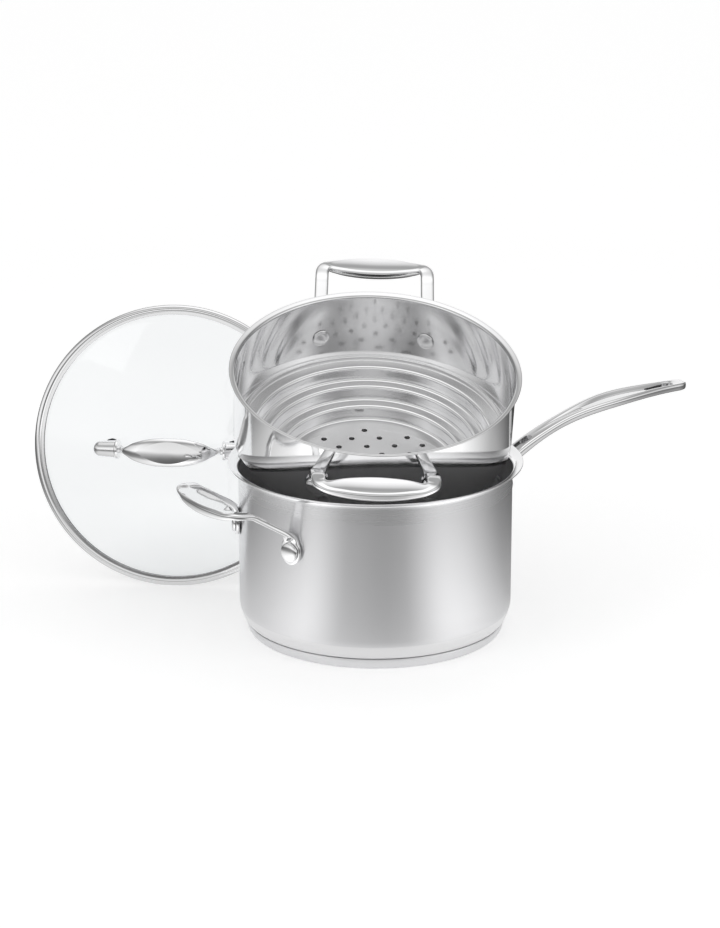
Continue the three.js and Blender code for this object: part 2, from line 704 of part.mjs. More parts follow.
function footShape() {
  const [inner, outer] = [-FOOT_LENGTH / 2, FOOT_LENGTH / 2];
  const bullet = turned([
    [0, inner],
    [FOOT_RADIUS * 0.86, inner],
    [FOOT_RADIUS, inner + 0.8],
    [FOOT_RADIUS, inner + 2.2],
    [FOOT_RADIUS * 0.92, inner + 2.8],
    [FOOT_TIP_RADIUS * 1.06, outer - FOOT_TIP_RADIUS * 0.8],
    [FOOT_TIP_RADIUS * 0.8, outer - FOOT_TIP_RADIUS * 0.24],
    [FOOT_TIP_RADIUS * 0.4, outer - FOOT_TIP_RADIUS * 0.05],
    [0, outer],
  ], SMALL_STEPS);
  bullet.rotateY(Math.PI / 2).translate(0, 0, footAxis);
  const base = new THREE.Vector3();
  const boss = rod(base, UP, footUnder, footAxis, BOSS_RADIUS);
  const socketEnd = new THREE.Vector3(inner, 0, footAxis);
  const socket = rod(socketEnd, ALONG, -FOOT_SOCKET_DEPTH, FOOT_SOCKET_DEPTH, NECK_RADIUS + SEAT);
  const thread = rod(base, UP, footUnder - SCREW_GRIP, footUnder + SCREW_GRIP + SEAT, SCREW_RADIUS + SEAT);
  return cut(joined(bullet, boss), [socket, thread]);
}

function screwShape() {
  const head = screwFace - SCREW_HEAD_HEIGHT;
  return turned([
    [0, head],
    [SCREW_HEAD_RADIUS * 0.8, head],
    [SCREW_HEAD_RADIUS, head + SCREW_HEAD_HEIGHT * 0.4],
    [SCREW_HEAD_RADIUS, screwFace],
    [SCREW_RADIUS, screwFace],
    [SCREW_RADIUS, footUnder + SCREW_GRIP],
    [0, footUnder + SCREW_GRIP],
  ], SMALL_STEPS);
}

function flatRing(from, to, outer) {
  const inner = SCREW_RADIUS + SEAT;
  return turnedRing([[inner, from], [outer, from], [outer, to], [inner, to]], SMALL_STEPS);
}

// Carries a shape from a foot's own frame to the lid's; the left foot is the right one turned half round.
function atFoot(geometry, side) {
  const placed = geometry.clone().rotateY(footTilt).translate(footReach, 0, glassTop(footReach));
  return side < 0 ? placed.rotateZ(Math.PI) : placed;
}

function lidHandle() {
  const frame = new THREE.Matrix4().makeRotationY(footTilt).setPosition(footReach, 0, glassTop(footReach));
  const inFoot = (x, z) => new THREE.Vector3(x, 0, z).applyMatrix4(frame);
  const collar = -FOOT_LENGTH / 2;
  const bend = inFoot(collar - NECK_RADIUS, footAxis + NECK_RADIUS * 0.35);
  const inwards = new THREE.Vector3(-1, 0, 0);
  const under = new THREE.Vector3(0, 0, -1);
  const slanted = new THREE.Vector3(-1, 0, -1).normalize();
  const onArch = (share, rise, width, thickness, down) => ({
    point: new THREE.Vector3(bend.x * share, 0, bend.z + LID_GRIP_RISE * rise),
    down,
    halfWidth: width / 2,
    above: thickness / 2,
    below: thickness / 2,
  });
  const neck = (point, down) => ({
    point, down, halfWidth: NECK_RADIUS, above: NECK_RADIUS, below: NECK_RADIUS,
  });
  const half = [
    neck(inFoot(collar + FOOT_SOCKET_DEPTH - 2 * SEAT, footAxis), under),
    neck(inFoot(collar, footAxis), under),
    neck(bend, slanted),
    onArch(0.95, 0.3, NECK_RADIUS * 2, NECK_RADIUS * 2, inwards),
    onArch(0.88, 0.6, LID_GRIP_WIDTH * 0.34, LID_GRIP_THICKNESS * 0.75, slanted),
    onArch(0.7, 0.82, LID_GRIP_WIDTH * 0.66, LID_GRIP_THICKNESS * 0.86, under),
    onArch(0.36, 0.95, LID_GRIP_WIDTH * 0.94, LID_GRIP_THICKNESS * 0.97, under),
  ];
  const middle = onArch(0, 1, LID_GRIP_WIDTH, LID_GRIP_THICKNESS, under);
  return bar([...half, middle, ...half.toReversed().map(mirrored)]);
}

function lid() {
  const screwHole = rod(new THREE.Vector3(), UP, screwFace, footUnder, SCREW_RADIUS + 2 * SEAT);
  const glass = cut(turned(glassProfile()), [1, -1].map((side) => atFoot(screwHole, side)));
  const pieces = [
    ['lid_glass', glass, clearGlass],
    ['lid_band', turnedRing(bandProfile()), polishedSteel],
    ['lid_handle', lidHandle(), castSteel],
  ];
  const stack = [
    ['lid_foot', footShape(), polishedSteel],
    ['lid_pad', flatRing(SEAT, SEAT + PAD_THICKNESS, PAD_RADIUS), silicone],
    ['lid_washer', flatRing(washerTop - WASHER_THICKNESS, washerTop, WASHER_RADIUS), silicone],
    ['lid_screw', screwShape(), polishedSteel],
  ];
  for (const [name, shape, material] of stack) {
    pieces.push([`${name}_right`, atFoot(shape, 1), material]);
    pieces.push([`${name}_left`, atFoot(shape, -1), material]);
  }
  return pieces;
}

// How the loose pieces come to rest

// Height of the top of the saucepan's faceted lip, at most, at a distance from its axis
function lipTop(distance) {
  const radius = distance / Math.cos(Math.PI / TURN_STEPS);
  if (radius < potInner - SEAT || distance > potRim + SEAT) return -Infinity;
  const inside = potLip.inside;
  let k = 0;
  while (k + 2 < inside.length && radius > inside[k + 1][0]) k += 1;
  const [[r0, z0], [r1, z1]] = [inside[k], inside[k + 1]];
  return z0 + (z1 - z0) * THREE.MathUtils.clamp((radius - r0) / (r1 - r0), 0, 1);
}

// Points along every edge of a geometry
function edgePoints(geometry, pieces) {
  const position = geometry.getAttribute('position');
  const corners = geometry.index.array;
  const [a, b] = [new THREE.Vector3(), new THREE.Vector3()];
  const points = [];
  for (let i = 0; i < corners.length; i += 1) {
    const next = i % 3 === 2 ? i - 2 : i + 1;
    a.fromBufferAttribute(position, corners[i]);
    b.fromBufferAttribute(position, corners[next]);
    for (let k = 0; k < pieces; k += 1) points.push(a.clone().lerp(b, k / pieces));
  }
  return points;
}

// Lowers the tilted steamer until its first point meets the saucepan's lip.
function restSteamer(group, pieces) {
  group.rotation.set(radians(STEAMER_TILT), radians(STEAMER_ROLL), 0);
  group.position.set(0, STEAMER_SET_BACK, 0);
  group.updateMatrix();
  let lift = 0;
  for (const [name, geometry] of pieces) {
    if (name.includes('rivet')) continue;
    for (const point of edgePoints(geometry, 8)) {
      point.applyMatrix4(group.matrix);
      lift = Math.max(lift, lipTop(Math.hypot(point.x, point.y)) - point.z);
    }
  }
  group.position.z = lift + SEAT;
}

// Stands the lid on its edge behind the saucepan's left side, just clear of the lip.
function standLid(group, band) {
  group.rotation.set(radians(90 - LID_LEAN), 0, radians(LID_TURN), 'ZXY');
  group.updateMatrix();
  const box = new THREE.Box3();
  const points = edgePoints(band, 1).map((point) => point.applyMatrix4(group.matrix));
  box.setFromPoints(points);
  group.position.set(-LID_EDGE_OFFSET - box.max.x, 0, SEAT - box.min.z);
  let back = 0;
  for (const point of points) {
    point.add(group.position);
    const clear = (point.z < potLip.start - LID_STAND_OFF ? POT_RADIUS : potRim) + LID_STAND_OFF;
    if (point.z > POT_HEIGHT + LID_STAND_OFF || Math.abs(point.x) >= clear) continue;
    back = Math.max(back, Math.sqrt(clear ** 2 - point.x ** 2) - point.y);
  }
  group.position.y = back;
}

function addMeshes(group, pieces) {
  for (const [name, geometry, material] of pieces) {
    geometry.computeVertexNormals();
    const mesh = new THREE.Mesh(geometry, material);
    mesh.name = name;
    group.add(mesh);
  }
  return group;
}

const set = addMeshes(new THREE.Group(), saucepan());
const front = new THREE.Group();
front.rotation.z = radians(VIEW_TURN);
set.add(front);

const steamerPieces = steamer();
const steamerGroup = addMeshes(new THREE.Group(), steamerPieces);
restSteamer(steamerGroup, steamerPieces);

const lidPieces = lid();
const lidGroup = addMeshes(new THREE.Group(), lidPieces);
standLid(lidGroup, lidPieces.find(([name]) => name === 'lid_band')[1]);

front.add(steamerGroup, lidGroup);
set.updateMatrixWorld(true);

export default set;
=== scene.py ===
"""Looks of the saucepan, its steamer insert and its glass lid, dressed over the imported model.

Sizes are in millimetres and become metres in make(). Vessels turn about their own Z axis, and the
steamer and the lid are built in their own frames and carried to where their solids rest.
"""
from math import acos, asin, atan, ceil, copysign, cos, degrees, hypot, pi, radians, sin, sqrt

import bmesh
import bpy
from mathutils import Matrix, Vector

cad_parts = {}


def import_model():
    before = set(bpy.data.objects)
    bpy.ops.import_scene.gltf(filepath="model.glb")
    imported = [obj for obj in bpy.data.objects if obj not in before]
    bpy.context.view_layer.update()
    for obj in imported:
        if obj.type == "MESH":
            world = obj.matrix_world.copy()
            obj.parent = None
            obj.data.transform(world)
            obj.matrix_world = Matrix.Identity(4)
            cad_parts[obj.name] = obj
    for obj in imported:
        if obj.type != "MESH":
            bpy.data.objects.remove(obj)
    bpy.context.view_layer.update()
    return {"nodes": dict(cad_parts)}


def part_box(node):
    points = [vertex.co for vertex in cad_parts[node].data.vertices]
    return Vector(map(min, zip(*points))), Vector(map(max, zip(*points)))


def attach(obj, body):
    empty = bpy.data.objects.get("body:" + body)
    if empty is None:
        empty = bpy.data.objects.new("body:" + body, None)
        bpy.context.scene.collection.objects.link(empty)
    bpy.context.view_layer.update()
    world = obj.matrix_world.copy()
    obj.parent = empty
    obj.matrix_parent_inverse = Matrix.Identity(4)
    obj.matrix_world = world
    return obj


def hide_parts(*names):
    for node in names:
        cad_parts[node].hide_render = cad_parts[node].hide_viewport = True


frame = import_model()

MM = 0.001
SEAT = 0.3  # gap kept between pieces that touch
VESSEL_STEPS = 192  # facets around the vessels and the lid
SMALL_STEPS = 48  # facets around rivets and feet
BEND_STEPS = 14  # facets along the bends of vessels and plates
LIP_STEPS = 10
RIDGE_STEPS = 6
SHOULDER_STEPS = 5
SLOT_STEPS = 16  # facets around the ends of the slots
SHARP_ANGLE = radians(38)
SLIVER = 2e-6  # edges shorter than this, in metres, are merged after a cut

# Saucepan
POT_RADIUS = 101
POT_HEIGHT = 129
POT_WALL = 1.0
POT_FLOOR = 1.2
POT_LIP = 7.4  # how far the pouring lip stands out past the wall
POT_LIP_BEND = 5  # radius of the bend below its flat part
POT_FOOT_CURVE = 25
POT_INSIDE_CURVE = 18
LIP_SWEEP = 75  # degrees that a lip turns outwards
POLISHED_FROM = 111  # height of the line between the wall and its finer brushed top band
INSIDE_POLISHED_FROM = 122  # height inside from which the lip's polish starts

# Bonded base
BASE_HEIGHT = 8
BASE_INSET = 5
BASE_CAP_WALL = 0.8
BASE_CAP_TAPER = 2.6
CAP_SIDE = ((0, 0.03), (0.3, 0.12), (0.55, 0.26), (0.78, 0.47), (0.93, 0.72))  # of taper and height
GROOVE_ROUND = 0.5  # softened edges on both sides of the groove

# Steamer insert, measured downwards from the top of its lip
STEAMER_OVERHANG = 3.6
STEAMER_WALL = 1.0
STEAMER_LIP = 3.6
STEAMER_LIP_BEND = 2
STEAMER_WALL_DEPTH = 57.5
STEP_CLEARANCE = 11
STEP_WIDTHS = (9.5, 10)
STEP_DEPTH = 11.5
STEP_CURVE = 3.5
SHELF_BEAD = 0.5  # height of the fine ring pressed in the top shelf
SHELF_BEAD_INSET = 4.5
SHELF_BEAD_SPREAD = 1.6  # its width against its height
SHELF_BEAD_STEPS = 8
FLOOR_RINGS = (0, 12, 30, 48, 62)
HOLE_DIAMETER = 4.4
HOLE_PITCH = 21.2
HOLE_TURN = 4.9
HOLE_MARGIN = 14
HOLE_STEPS = 20
DRILL_PAST = 2  # how far a drill goes past both faces of the floor

# How the loose pieces stand
VIEW_TURN = -31
STEAMER_TILT = 18.4
STEAMER_ROLL = 2.2
LID_LEAN = 10.5
LID_TURN = -3.5

# Cast loop handle
LOOP_RIVET_ANGLE = 23
LOOP_WIDTH = 91
LOOP_REACH = 47
LOOP_RISE = 34
LOOP_ARM = 16
ARM_RISE = 2.7
LEG_WIDTH = 10
LEG_THICKNESS = 4.6
TAB_MARGIN = 1.4
TAB_THICKNESS = 3.2
TAB_STRETCH = 1.1  # the tab's lower end against a half circle
TAB_ANGLES = (8, 20, 35, 50, 65, 80, 95)
LEG_SHARES = (0.2, 0.55, 0.9)
ARM_SECTIONS = ((0.99, 0.62, 0.2, 1, 0.55), (0.93, 0.18, 0, 1.1, 0.65))  # arguments of on_arm()
GRIP_SECTIONS = ((0.8, 0.55, 0.62), (0.55, 0.8, 0.84), (0.27, 0.96, 0.96))  # of on_grip()
LOOP_PIECES = 5  # sections between two stations
GRIP_WIDTH = 22
GRIP_THICKNESS = 10.5
GRIP_BELLY = 0.72  # share of the thickness below the middle of the grip
GRIP_FACET_WIDTH = 18  # lens-shaped hollow in the top of the grip
GRIP_FACET_LENGTH = 78
GRIP_FACET_DISH = 1.0
HELPER_RIVET_DEPTH = 43.5
STEAMER_RIVET_DEPTH = 35

# Rivets
RIVET_SHANK = 2.5
RIVET_HEAD = 7.2
RIVET_DOME = 2.8
RIVET_INNER_HEAD = 6.6
RIVET_INNER_DOME = 1.5
RIVET_EDGE = 0.25  # share of a head's height that is its upright edge
RIVET_INNER_EDGE = 0.3

# Long handle
HANDLE_LENGTH = 179
HANDLE_ROOT_DEPTH = 30.5
HANDLE_RISE = 46.5
HANDLE_ROOT_WIDTH = 18.8
HANDLE_WIDTH = 25
HANDLE_NECK_WIDTH = 15
HANDLE_END_WIDTH = 15
HANDLE_THICKNESS = 8
HANDLE_SCOOP = 2.4
HANDLE_CURVE = 3  # power of its rise, steep at the root and level at the end
HANDLE_UPRIGHT = 0.15  # share of its length over which the sections lean in from upright
HANDLE_WIDTHS = (  # at shares of its length, as are the next three
    (0, HANDLE_ROOT_WIDTH), (0.13, HANDLE_NECK_WIDTH), (0.32, HANDLE_NECK_WIDTH),
    (0.64, HANDLE_WIDTH), (0.97, HANDLE_END_WIDTH), (1, HANDLE_END_WIDTH * 0.72),
)
HANDLE_DEPTHS = ((0, 1.6), (0.13, 1.05), (0.28, 0.9), (0.58, 1), (1, 0.85))
SCOOP_DEPTHS = ((0, 0), (0.22, 0), (0.6, 1), (0.9, 1), (0.97, 0), (1, 0))
POCKET_EDGES = ((0, 0.15), (0.2, 0.15), (0.62, 0.66), (1, 0.66))
POCKET_SLOPE = 2.1  # how far the pocket's walls lean in
POCKET_SLOPE_MOST = 0.6  # of the pocket's half width
POCKET_ROUND = 1
HANDLE_SIDE = ((0.86, 1, 1.1), (1, 0.5, 1.3), (0.93, -0.4, 2), (0.55, -0.9, 2.5))  # across, up, rounding
KEEL_ROUND = 2.5
HANDLE_SHARES = [*(k / 70 for k in range(68)), 0.975, 0.982, 0.988, 0.993]
HANDLE_END = ((1, -0.8), (0.96, -0.25), (0.86, 0))  # scale and place of the last sections
PLATE_MARGIN = 0.8
PLATE_HEIGHT = 20
PLATE_THICKNESS = 3.4
PLATE_CLEARANCE = 0.4
PLATE_EDGE = ((0, 0.9), (0.25, 0.35), (0.9, 0))  # inset, and distance behind the plate's face
HANG_SLOT_LENGTH = 26
HANG_SLOT_WIDTH = 8
HANG_SLOT_MARGIN = 10
ROOT_OPENING_LENGTH = 16
ROOT_OPENING_WIDTH = 7.4
ROOT_OPENING_REACH = 29

# Lid
LID_OVERHANG = 0.6
LID_BAND_WIDTH = 7.6
LID_BAND_WALL = 0.8
LID_SEAT_DROP = 3
BAND_EDGE = 0.25
BAND_BEAD = 0.82  # of half the band's height
BAND_BEAD_SWEEP = (118, -100)  # degrees, from its upper side round to its lower
BAND_BEAD_STEPS = 24
BAND_GROOVE = (0.28, 0.33, 0.37)  # shares of the band's width
BAND_GROOVE_DEPTH = 0.5
GLASS_THICKNESS = 4
GLASS_DOME = 18
GLASS_EDGE = 3.4
GLASS_MARGIN = 1  # between the dome and the band
GLASS_RINGS = 28
FOOT_SPACING = 95
FOOT_LENGTH = 20.5
FOOT_RADIUS = 7.5
FOOT_TIP_RADIUS = 5.6
FOOT_TIP_SPREAD = 1.08
FOOT_TIP_STEPS = 12
FOOT_COLLAR = ((0.84, 0), (0.96, 0.25), (1, 0.8), (1, 2), (0.97, 2.4), (0.9, 2.7))  # of radius, along
BOSS_RISE = 1.5
BOSS_RADIUS = 4.6
BOSS_EDGE = 0.4
FOOT_SOCKET_DEPTH = 6
PAD_THICKNESS = 1.5
NECK_RADIUS = 2.9
LID_GRIP_WIDTH = 22
LID_GRIP_THICKNESS = 8
LID_GRIP_RISE = 16
LID_FACET_WIDTH = 16.5
LID_FACET_LENGTH = 48
LID_FACET_DISH = -0.35  # it stands out a little
LID_PIECES = 6  # sections between two stations of its grip

# Camera: the photograph's frame is 720 by 928 pixels
FRAME_HEIGHT = 928
FOCAL_PIXELS = 3025.3
SENSOR = 36.0
VIEW_ELEVATION = 17.327
CAMERA_DISTANCE = 2228
AIM_RIGHT = -11.31
AIM_HEIGHT = 125.22
CLIP_END = 20


# Meshes

def linked(name, data):
    """A new object in the scene."""
    piece = bpy.data.objects.new(name, data)
    bpy.context.scene.collection.objects.link(piece)
    return piece


def crisp(edge):
    return len(edge.link_faces) != 2 or edge.calc_face_angle() > SHARP_ANGLE


def shade(shape, creases=()):
    """Smooth faces with crisp edges where the surface turns sharply or a crease is asked for."""
    marked = {frozenset(pair) for pair in creases}
    for face in shape.faces:
        face.smooth = True
    for edge in shape.edges:
        edge.smooth = not (crisp(edge) or frozenset(v.index for v in edge.verts) in marked)


def make(name, solid, materials, place=Matrix(), pick=None, creases=(), axis=None):
    """An object from points in millimetres and faces; pick(centre, normal) chooses a face's material.

    Its points are carried to their place. A lathe-brushed piece keeps its own axis, given as a place.
    """
    points, faces = solid
    mesh = bpy.data.meshes.new(name)
    mesh.from_pydata([Vector(point) * MM for point in points], [], faces)
    shape = bmesh.new()
    shape.from_mesh(mesh)
    bmesh.ops.recalc_face_normals(shape, faces=shape.faces)
    shade(shape, creases)
    if pick:
        for face in shape.faces:
            face.material_index = pick(face.calc_center_median() / MM, face.normal)
    shape.to_mesh(mesh)
    shape.free()
    for material in materials:
        mesh.materials.append(material)
    mesh.transform(axis.inverted() @ place if axis else place)
    piece = linked(name, mesh)
    piece.matrix_world = axis or Matrix()
    return piece


def cut(piece, cutter):
    """Takes a cutter's solid out of a piece for good."""
    modifier = piece.modifiers.new("cut", "BOOLEAN")
    modifier.object = cutter
    modifier.operation = "DIFFERENCE"
    modifier.solver = "EXACT"
    bpy.context.view_layer.update()
    graph = bpy.context.evaluated_depsgraph_get()
    mesh = bpy.data.meshes.new_from_object(piece.evaluated_get(graph))
    piece.modifiers.clear()
    piece.data = mesh
    bpy.data.objects.remove(cutter)
    shape = bmesh.new()
    shape.from_mesh(mesh)
    bmesh.ops.dissolve_degenerate(shape, dist=SLIVER, edges=shape.edges)
    for edge in shape.edges:
        if crisp(edge):
            edge.smooth = False
    shape.to_mesh(mesh)
    shape.free()


def lathe(profile, segments=VESSEL_STEPS, ring=False):
    """A profile of (radius, height) turned about Z; a ring's profile closes on itself."""
    points, rows, faces = [], [], []
    for radius, height in profile:
        if radius < 1e-6:
            rows.append([len(points)] * segments)
            points.append((0, 0, height))
            continue
        rows.append(range(len(points), len(points) + segments))
        for k in range(segments):
            angle = 2 * pi * k / segments
            points.append((radius * cos(angle), radius * sin(angle), height))
    pairs = list(zip(rows, rows[1:]))
    if ring:
        pairs.append((rows[-1], rows[0]))
    for low, high in pairs:
        for k in range(segments):
            j = (k + 1) % segments
            face = list(dict.fromkeys((low[k], low[j], high[j], high[k])))
            if len(face) > 2:
                faces.append(face)
    return points, faces


def loft(rings):
    """A skin over rings of points, closed at both ends."""
    count = len(rings[0])
    points = [point for ring in rings for point in ring]
    faces = []
    for r in range(len(rings) - 1):
        for k in range(count):
            a, b = r * count + k, r * count + (k + 1) % count
            faces.append((a, b, b + count, a + count))
    for first, ring in ((0, rings[0]), ((len(rings) - 1) * count, rings[-1])):
        points.append(sum((Vector(point) for point in ring), Vector()) / count)
        for k in range(count):
            faces.append((first + k, first + (k + 1) % count, len(points) - 1))
    return points, faces


def moved(solid, matrix):
    points, faces = solid
    return [matrix @ Vector(point) for point in points], faces


def both(first, second):
    """Two solids as one mesh."""
    points, faces = first
    more_points, more_faces = second
    shifted = [[i + len(points) for i in face] for face in more_faces]
    return [*points, *more_points], [*faces, *shifted]


def arc(centre, radius, start, end, pieces):
    """Points of an arc, from one angle to another in degrees."""
    angles = (radians(start + (end - start) * k / pieces) for k in range(pieces + 1))
    return [(centre[0] + radius * cos(a), centre[1] + radius * sin(a)) for a in angles]


def dome(radius, low, high, pieces=8):
    """A quarter ellipse from the edge of a round head to its top."""
    angles = (pi / 2 * k / pieces for k in range(pieces))
    return [*((radius * cos(a), low + (high - low) * sin(a)) for a in angles), (0, high)]


def rounded_edge(first, second, outwards, pieces=6):
    """A half circle that closes a sheet's edge, from one face to the other."""
    first, second, outwards = Vector(first), Vector(second), Vector(outwards).normalized()
    middle, half = (first + second) / 2, (first - second) / 2
    angles = (pi * k / pieces for k in range(1, pieces))
    return [tuple(middle + half * cos(a) + outwards * half.length * sin(a)) for a in angles]


def stadium(straight, radius, pieces):
    """An outline with round ends; straight is half the distance between their middles."""
    return arc((straight, 0), radius, -90, 90, pieces) + arc((-straight, 0), radius, 90, 270, pieces)


CORNER_MOST = 0.45  # of a side, for the rounding of a corner


def fillet(corners, pieces=4):
    """A closed outline with its corners rounded; each corner is (x, y, radius)."""
    outline = []
    for k, (x, y, radius) in enumerate(corners):
        here = Vector((x, y))
        before = Vector(corners[k - 1][:2])
        after = Vector(corners[(k + 1) % len(corners)][:2])
        back, on = before - here, after - here
        reach = min(radius, back.length * CORNER_MOST, on.length * CORNER_MOST)
        if radius == 0:
            outline.append((x, y))
            continue
        start, end = here + back.normalized() * reach, here + on.normalized() * reach
        for j in range(pieces + 1):
            t = j / pieces
            point = start * (1 - t) ** 2 + here * 2 * t * (1 - t) + end * t ** 2
            outline.append(tuple(point))
    return outline


def smooth_step(x):
    t = min(max(x, 0), 1)
    return t * t * (3 - 2 * t)


def through(pairs, x):
    """Value at x on a smooth line through (x, value) pairs."""
    k = 0
    while k + 2 < len(pairs) and x > pairs[k + 1][0]:
        k += 1
    (x0, v0), (x1, v1) = pairs[k], pairs[k + 1]
    return v0 + (v1 - v0) * smooth_step((x - x0) / (x1 - x0))


KNOT_POWER = 0.6  # evens out the speed between near and far stations


def filled_in(rows, pieces):
    """Rows of numbers that start with a point, filled in along a smooth line."""
    knots = [0.0]
    for a, b in zip(rows, rows[1:]):
        knots.append(knots[-1] + (Vector(b[:3]) - Vector(a[:3])).length ** KNOT_POWER)
    slopes = []
    for k in range(len(rows)):
        low, high = max(k - 1, 0), min(k + 1, len(rows) - 1)
        gap = knots[high] - knots[low]
        slopes.append([(b - a) / gap for a, b in zip(rows[low], rows[high])])
    dense = []
    for k in range(len(rows) - 1):
        span = knots[k + 1] - knots[k]
        for j in range(pieces):
            t = j / pieces
            h00, h10 = (1 + 2 * t) * (1 - t) ** 2, t * (1 - t) ** 2 * span
            h01, h11 = t * t * (3 - 2 * t), t * t * (t - 1) * span
            dense.append([
                h00 * a + h10 * sa + h01 * b + h11 * sb
                for a, sa, b, sb in zip(rows[k], slopes[k], rows[k + 1], slopes[k + 1])
            ])
    dense.append(list(rows[-1]))
    return dense


# Bars: the cast handles

FACET_STEPS = 4  # half of the strips across a facet
SIDE_STEPS = 7
LOW_STEPS = 8
FACET_LEAST = 0.07  # of the half width, where there is no facet


def bar_section(half_width, above, below, power, facet, dish):
    """Outline of a soft-cornered bar as (across, up), from the left edge of its facet."""
    def top(u):
        return above * (1 - min(abs(u) / half_width, 1) ** (2 / power)) ** (power / 2)

    least = half_width * FACET_LEAST
    edge = max(facet, least)
    outline = []
    for k in range(-FACET_STEPS, FACET_STEPS + 1):
        share = k / FACET_STEPS
        flat = top(edge) - dish * (1 - share ** 2)
        outline.append((edge * share, flat if facet > least else top(edge * share)))
    start = acos(min((edge / half_width) ** (1 / power), 1))
    side = []
    for k in range(1, SIDE_STEPS + 1):
        angle = start * (1 - k / SIDE_STEPS)
        side.append((half_width * cos(angle) ** power, above * sin(angle) ** power))
    outline += side
    for k in range(1, 2 * LOW_STEPS):
        c, s = cos(pi * k / (2 * LOW_STEPS)), sin(pi * k / (2 * LOW_STEPS))
        outline.append((copysign(half_width * abs(c) ** power, c), -below * s ** power))
    outline += [(-u, v) for u, v in reversed(side)]
    return outline


def bar(stations, pieces, lens):
    """A bar along stations of (point, down, half width, above, below, power).

    lens(point) gives the half width of its facet and the facet's hollow at a point.
    """
    rows = filled_in([[*p, *d, *rest] for p, d, *rest in stations], pieces)
    rings, facets = [], []
    points = [Vector(row[:3]) for row in rows]
    for k, row in enumerate(rows):
        point, down = points[k], Vector(row[3:6])
        along = (points[min(k + 1, len(rows) - 1)] - points[max(k - 1, 0)]).normalized()
        square = (down - along * down.dot(along)).normalized()
        across = along.cross(square)
        half_width, above, below, power = row[6:]
        facet, dish = lens(point)
        facets.append(facet > half_width * FACET_LEAST)
        outline = bar_section(half_width, above, below, power, facet, dish)
        rings.append([point + across * u - square * v for u, v in outline])
    count = len(rings[0])
    faceted = [k * count for k in range(len(rings) - 1) if facets[k] and facets[k + 1]]
    creases = [(k + i, k + count + i) for k in faceted for i in (0, 2 * FACET_STEPS)]
    return loft(rings), creases


def lens_of(length, width, dish):
    """Half width and hollow of a lens-shaped facet along X."""
    def lens(point):
        share = max(1 - (2 * point.x / length) ** 2, 0)
        return width / 2 * share, dish * share ** 2
    return lens


# Materials

NOISE_RANGE = (0.3, 0.7)  # values that a noise mostly keeps to
WIPE_SCALE = 45  # wipe marks on polished steel
WIPE_GLOSS = (0.7, 1.4)  # shares of its roughness that they reach
CLOUD_SCALE = 18  # slow drift of its tone
CLOUD_TINT = 0.97
WAVE_SCALE = 60  # waves of hand polishing
WAVE_HEIGHT = 0.002
STROKE_SCALE = 2.2  # strokes of the lathe brush
STROKE_GLOSS = (0.94, 1.07)
STROKE_TINT = 0.98
STROKE_HEIGHT = 0.0001
HIGHLIGHT_TURN = 0.25  # of a full turn, from the strokes to the streak of light
GLASS_WIPE_SCALE = 30
GLASS_ROUGHNESS = 0.02
GLASS_IOR = 1.48
SPECKLE_DEPTH = 0.2
SPECKLE_HEIGHT = 0.0002


def fed(tree, node, inputs):
    """Fills inputs of a node, each with a value or with the output that feeds it."""
    for key, value in inputs.items():
        if isinstance(value, bpy.types.NodeSocket):
            tree.links.new(value, node.inputs[key])
        else:
            node.inputs[key].default_value = value
    return node


def added(tree, kind, inputs, **settings):
    """A new shader node."""
    node = tree.nodes.new(f"ShaderNode{kind}")
    for key, value in settings.items():
        setattr(node, key, value)
    return fed(tree, node, inputs)


def computed(tree, operation, *values, clamp=False):
    node = added(tree, "Math", dict(enumerate(values)), operation=operation, use_clamp=clamp)
    return node.outputs["Value"]


def vector_computed(tree, operation, output, *values):
    return added(tree, "VectorMath", dict(enumerate(values)), operation=operation).outputs[output]


def split(tree, vector):
    """The X, Y and Z of a vector."""
    return added(tree, "SeparateXYZ", {"Vector": vector}).outputs


def flattened(tree, place):
    """A place's part along the floor, and its distance from the axis."""
    flat = vector_computed(tree, "MULTIPLY", "Vector", place, (1, 1, 0))
    return flat, vector_computed(tree, "LENGTH", "Value", flat)


def node_material(name):
    """A new material, its node tree and the place of a point in its object's own axes."""
    material = bpy.data.materials.new(name)
    material.use_nodes = True
    tree = material.node_tree
    return material, tree, added(tree, "TexCoord", {}).outputs["Object"]


def surface(tree, inputs):
    fed(tree, tree.nodes["Principled BSDF"], inputs)


def noise(tree, vector, scale, detail=2):
    return added(tree, "TexNoise", {"Scale": scale, "Detail": detail, "Vector": vector}).outputs["Fac"]


def spread(tree, value, low, high):
    """Maps a noise value to a range."""
    first, last = NOISE_RANGE
    limits = {"From Min": first, "From Max": last, "To Min": low, "To Max": high}
    return added(tree, "MapRange", {"Value": value, **limits}).outputs["Result"]


def bump(tree, height, strength, distance):
    inputs = {"Strength": strength, "Distance": distance, "Height": height}
    return added(tree, "Bump", inputs).outputs["Normal"]


def tinted(tree, value, dark, light):
    """A colour that drifts between two tones."""
    tones = {"A": (*dark, 1), "B": (*light, 1), "Factor": value}
    return added(tree, "Mix", tones, data_type="RGBA").outputs["Result"]


def polished_steel(name, colour, roughness, waviness=0):
    """Mirror-bright steel: faint wipe marks in its gloss, and the slight waves of hand polishing."""
    material, tree, place = node_material(name)
    wipes = noise(tree, place, WIPE_SCALE, 4)
    clouds = noise(tree, place, CLOUD_SCALE)
    surface(tree, {
        "Metallic": 1.0,
        "Roughness": spread(tree, wipes, *(roughness * share for share in WIPE_GLOSS)),
        "Base Color": tinted(tree, clouds, [c * CLOUD_TINT for c in colour], colour),
    })
    if waviness:
        surface(tree, {"Normal": bump(tree, noise(tree, place, WAVE_SCALE, 1), waviness, WAVE_HEIGHT)})
    return material


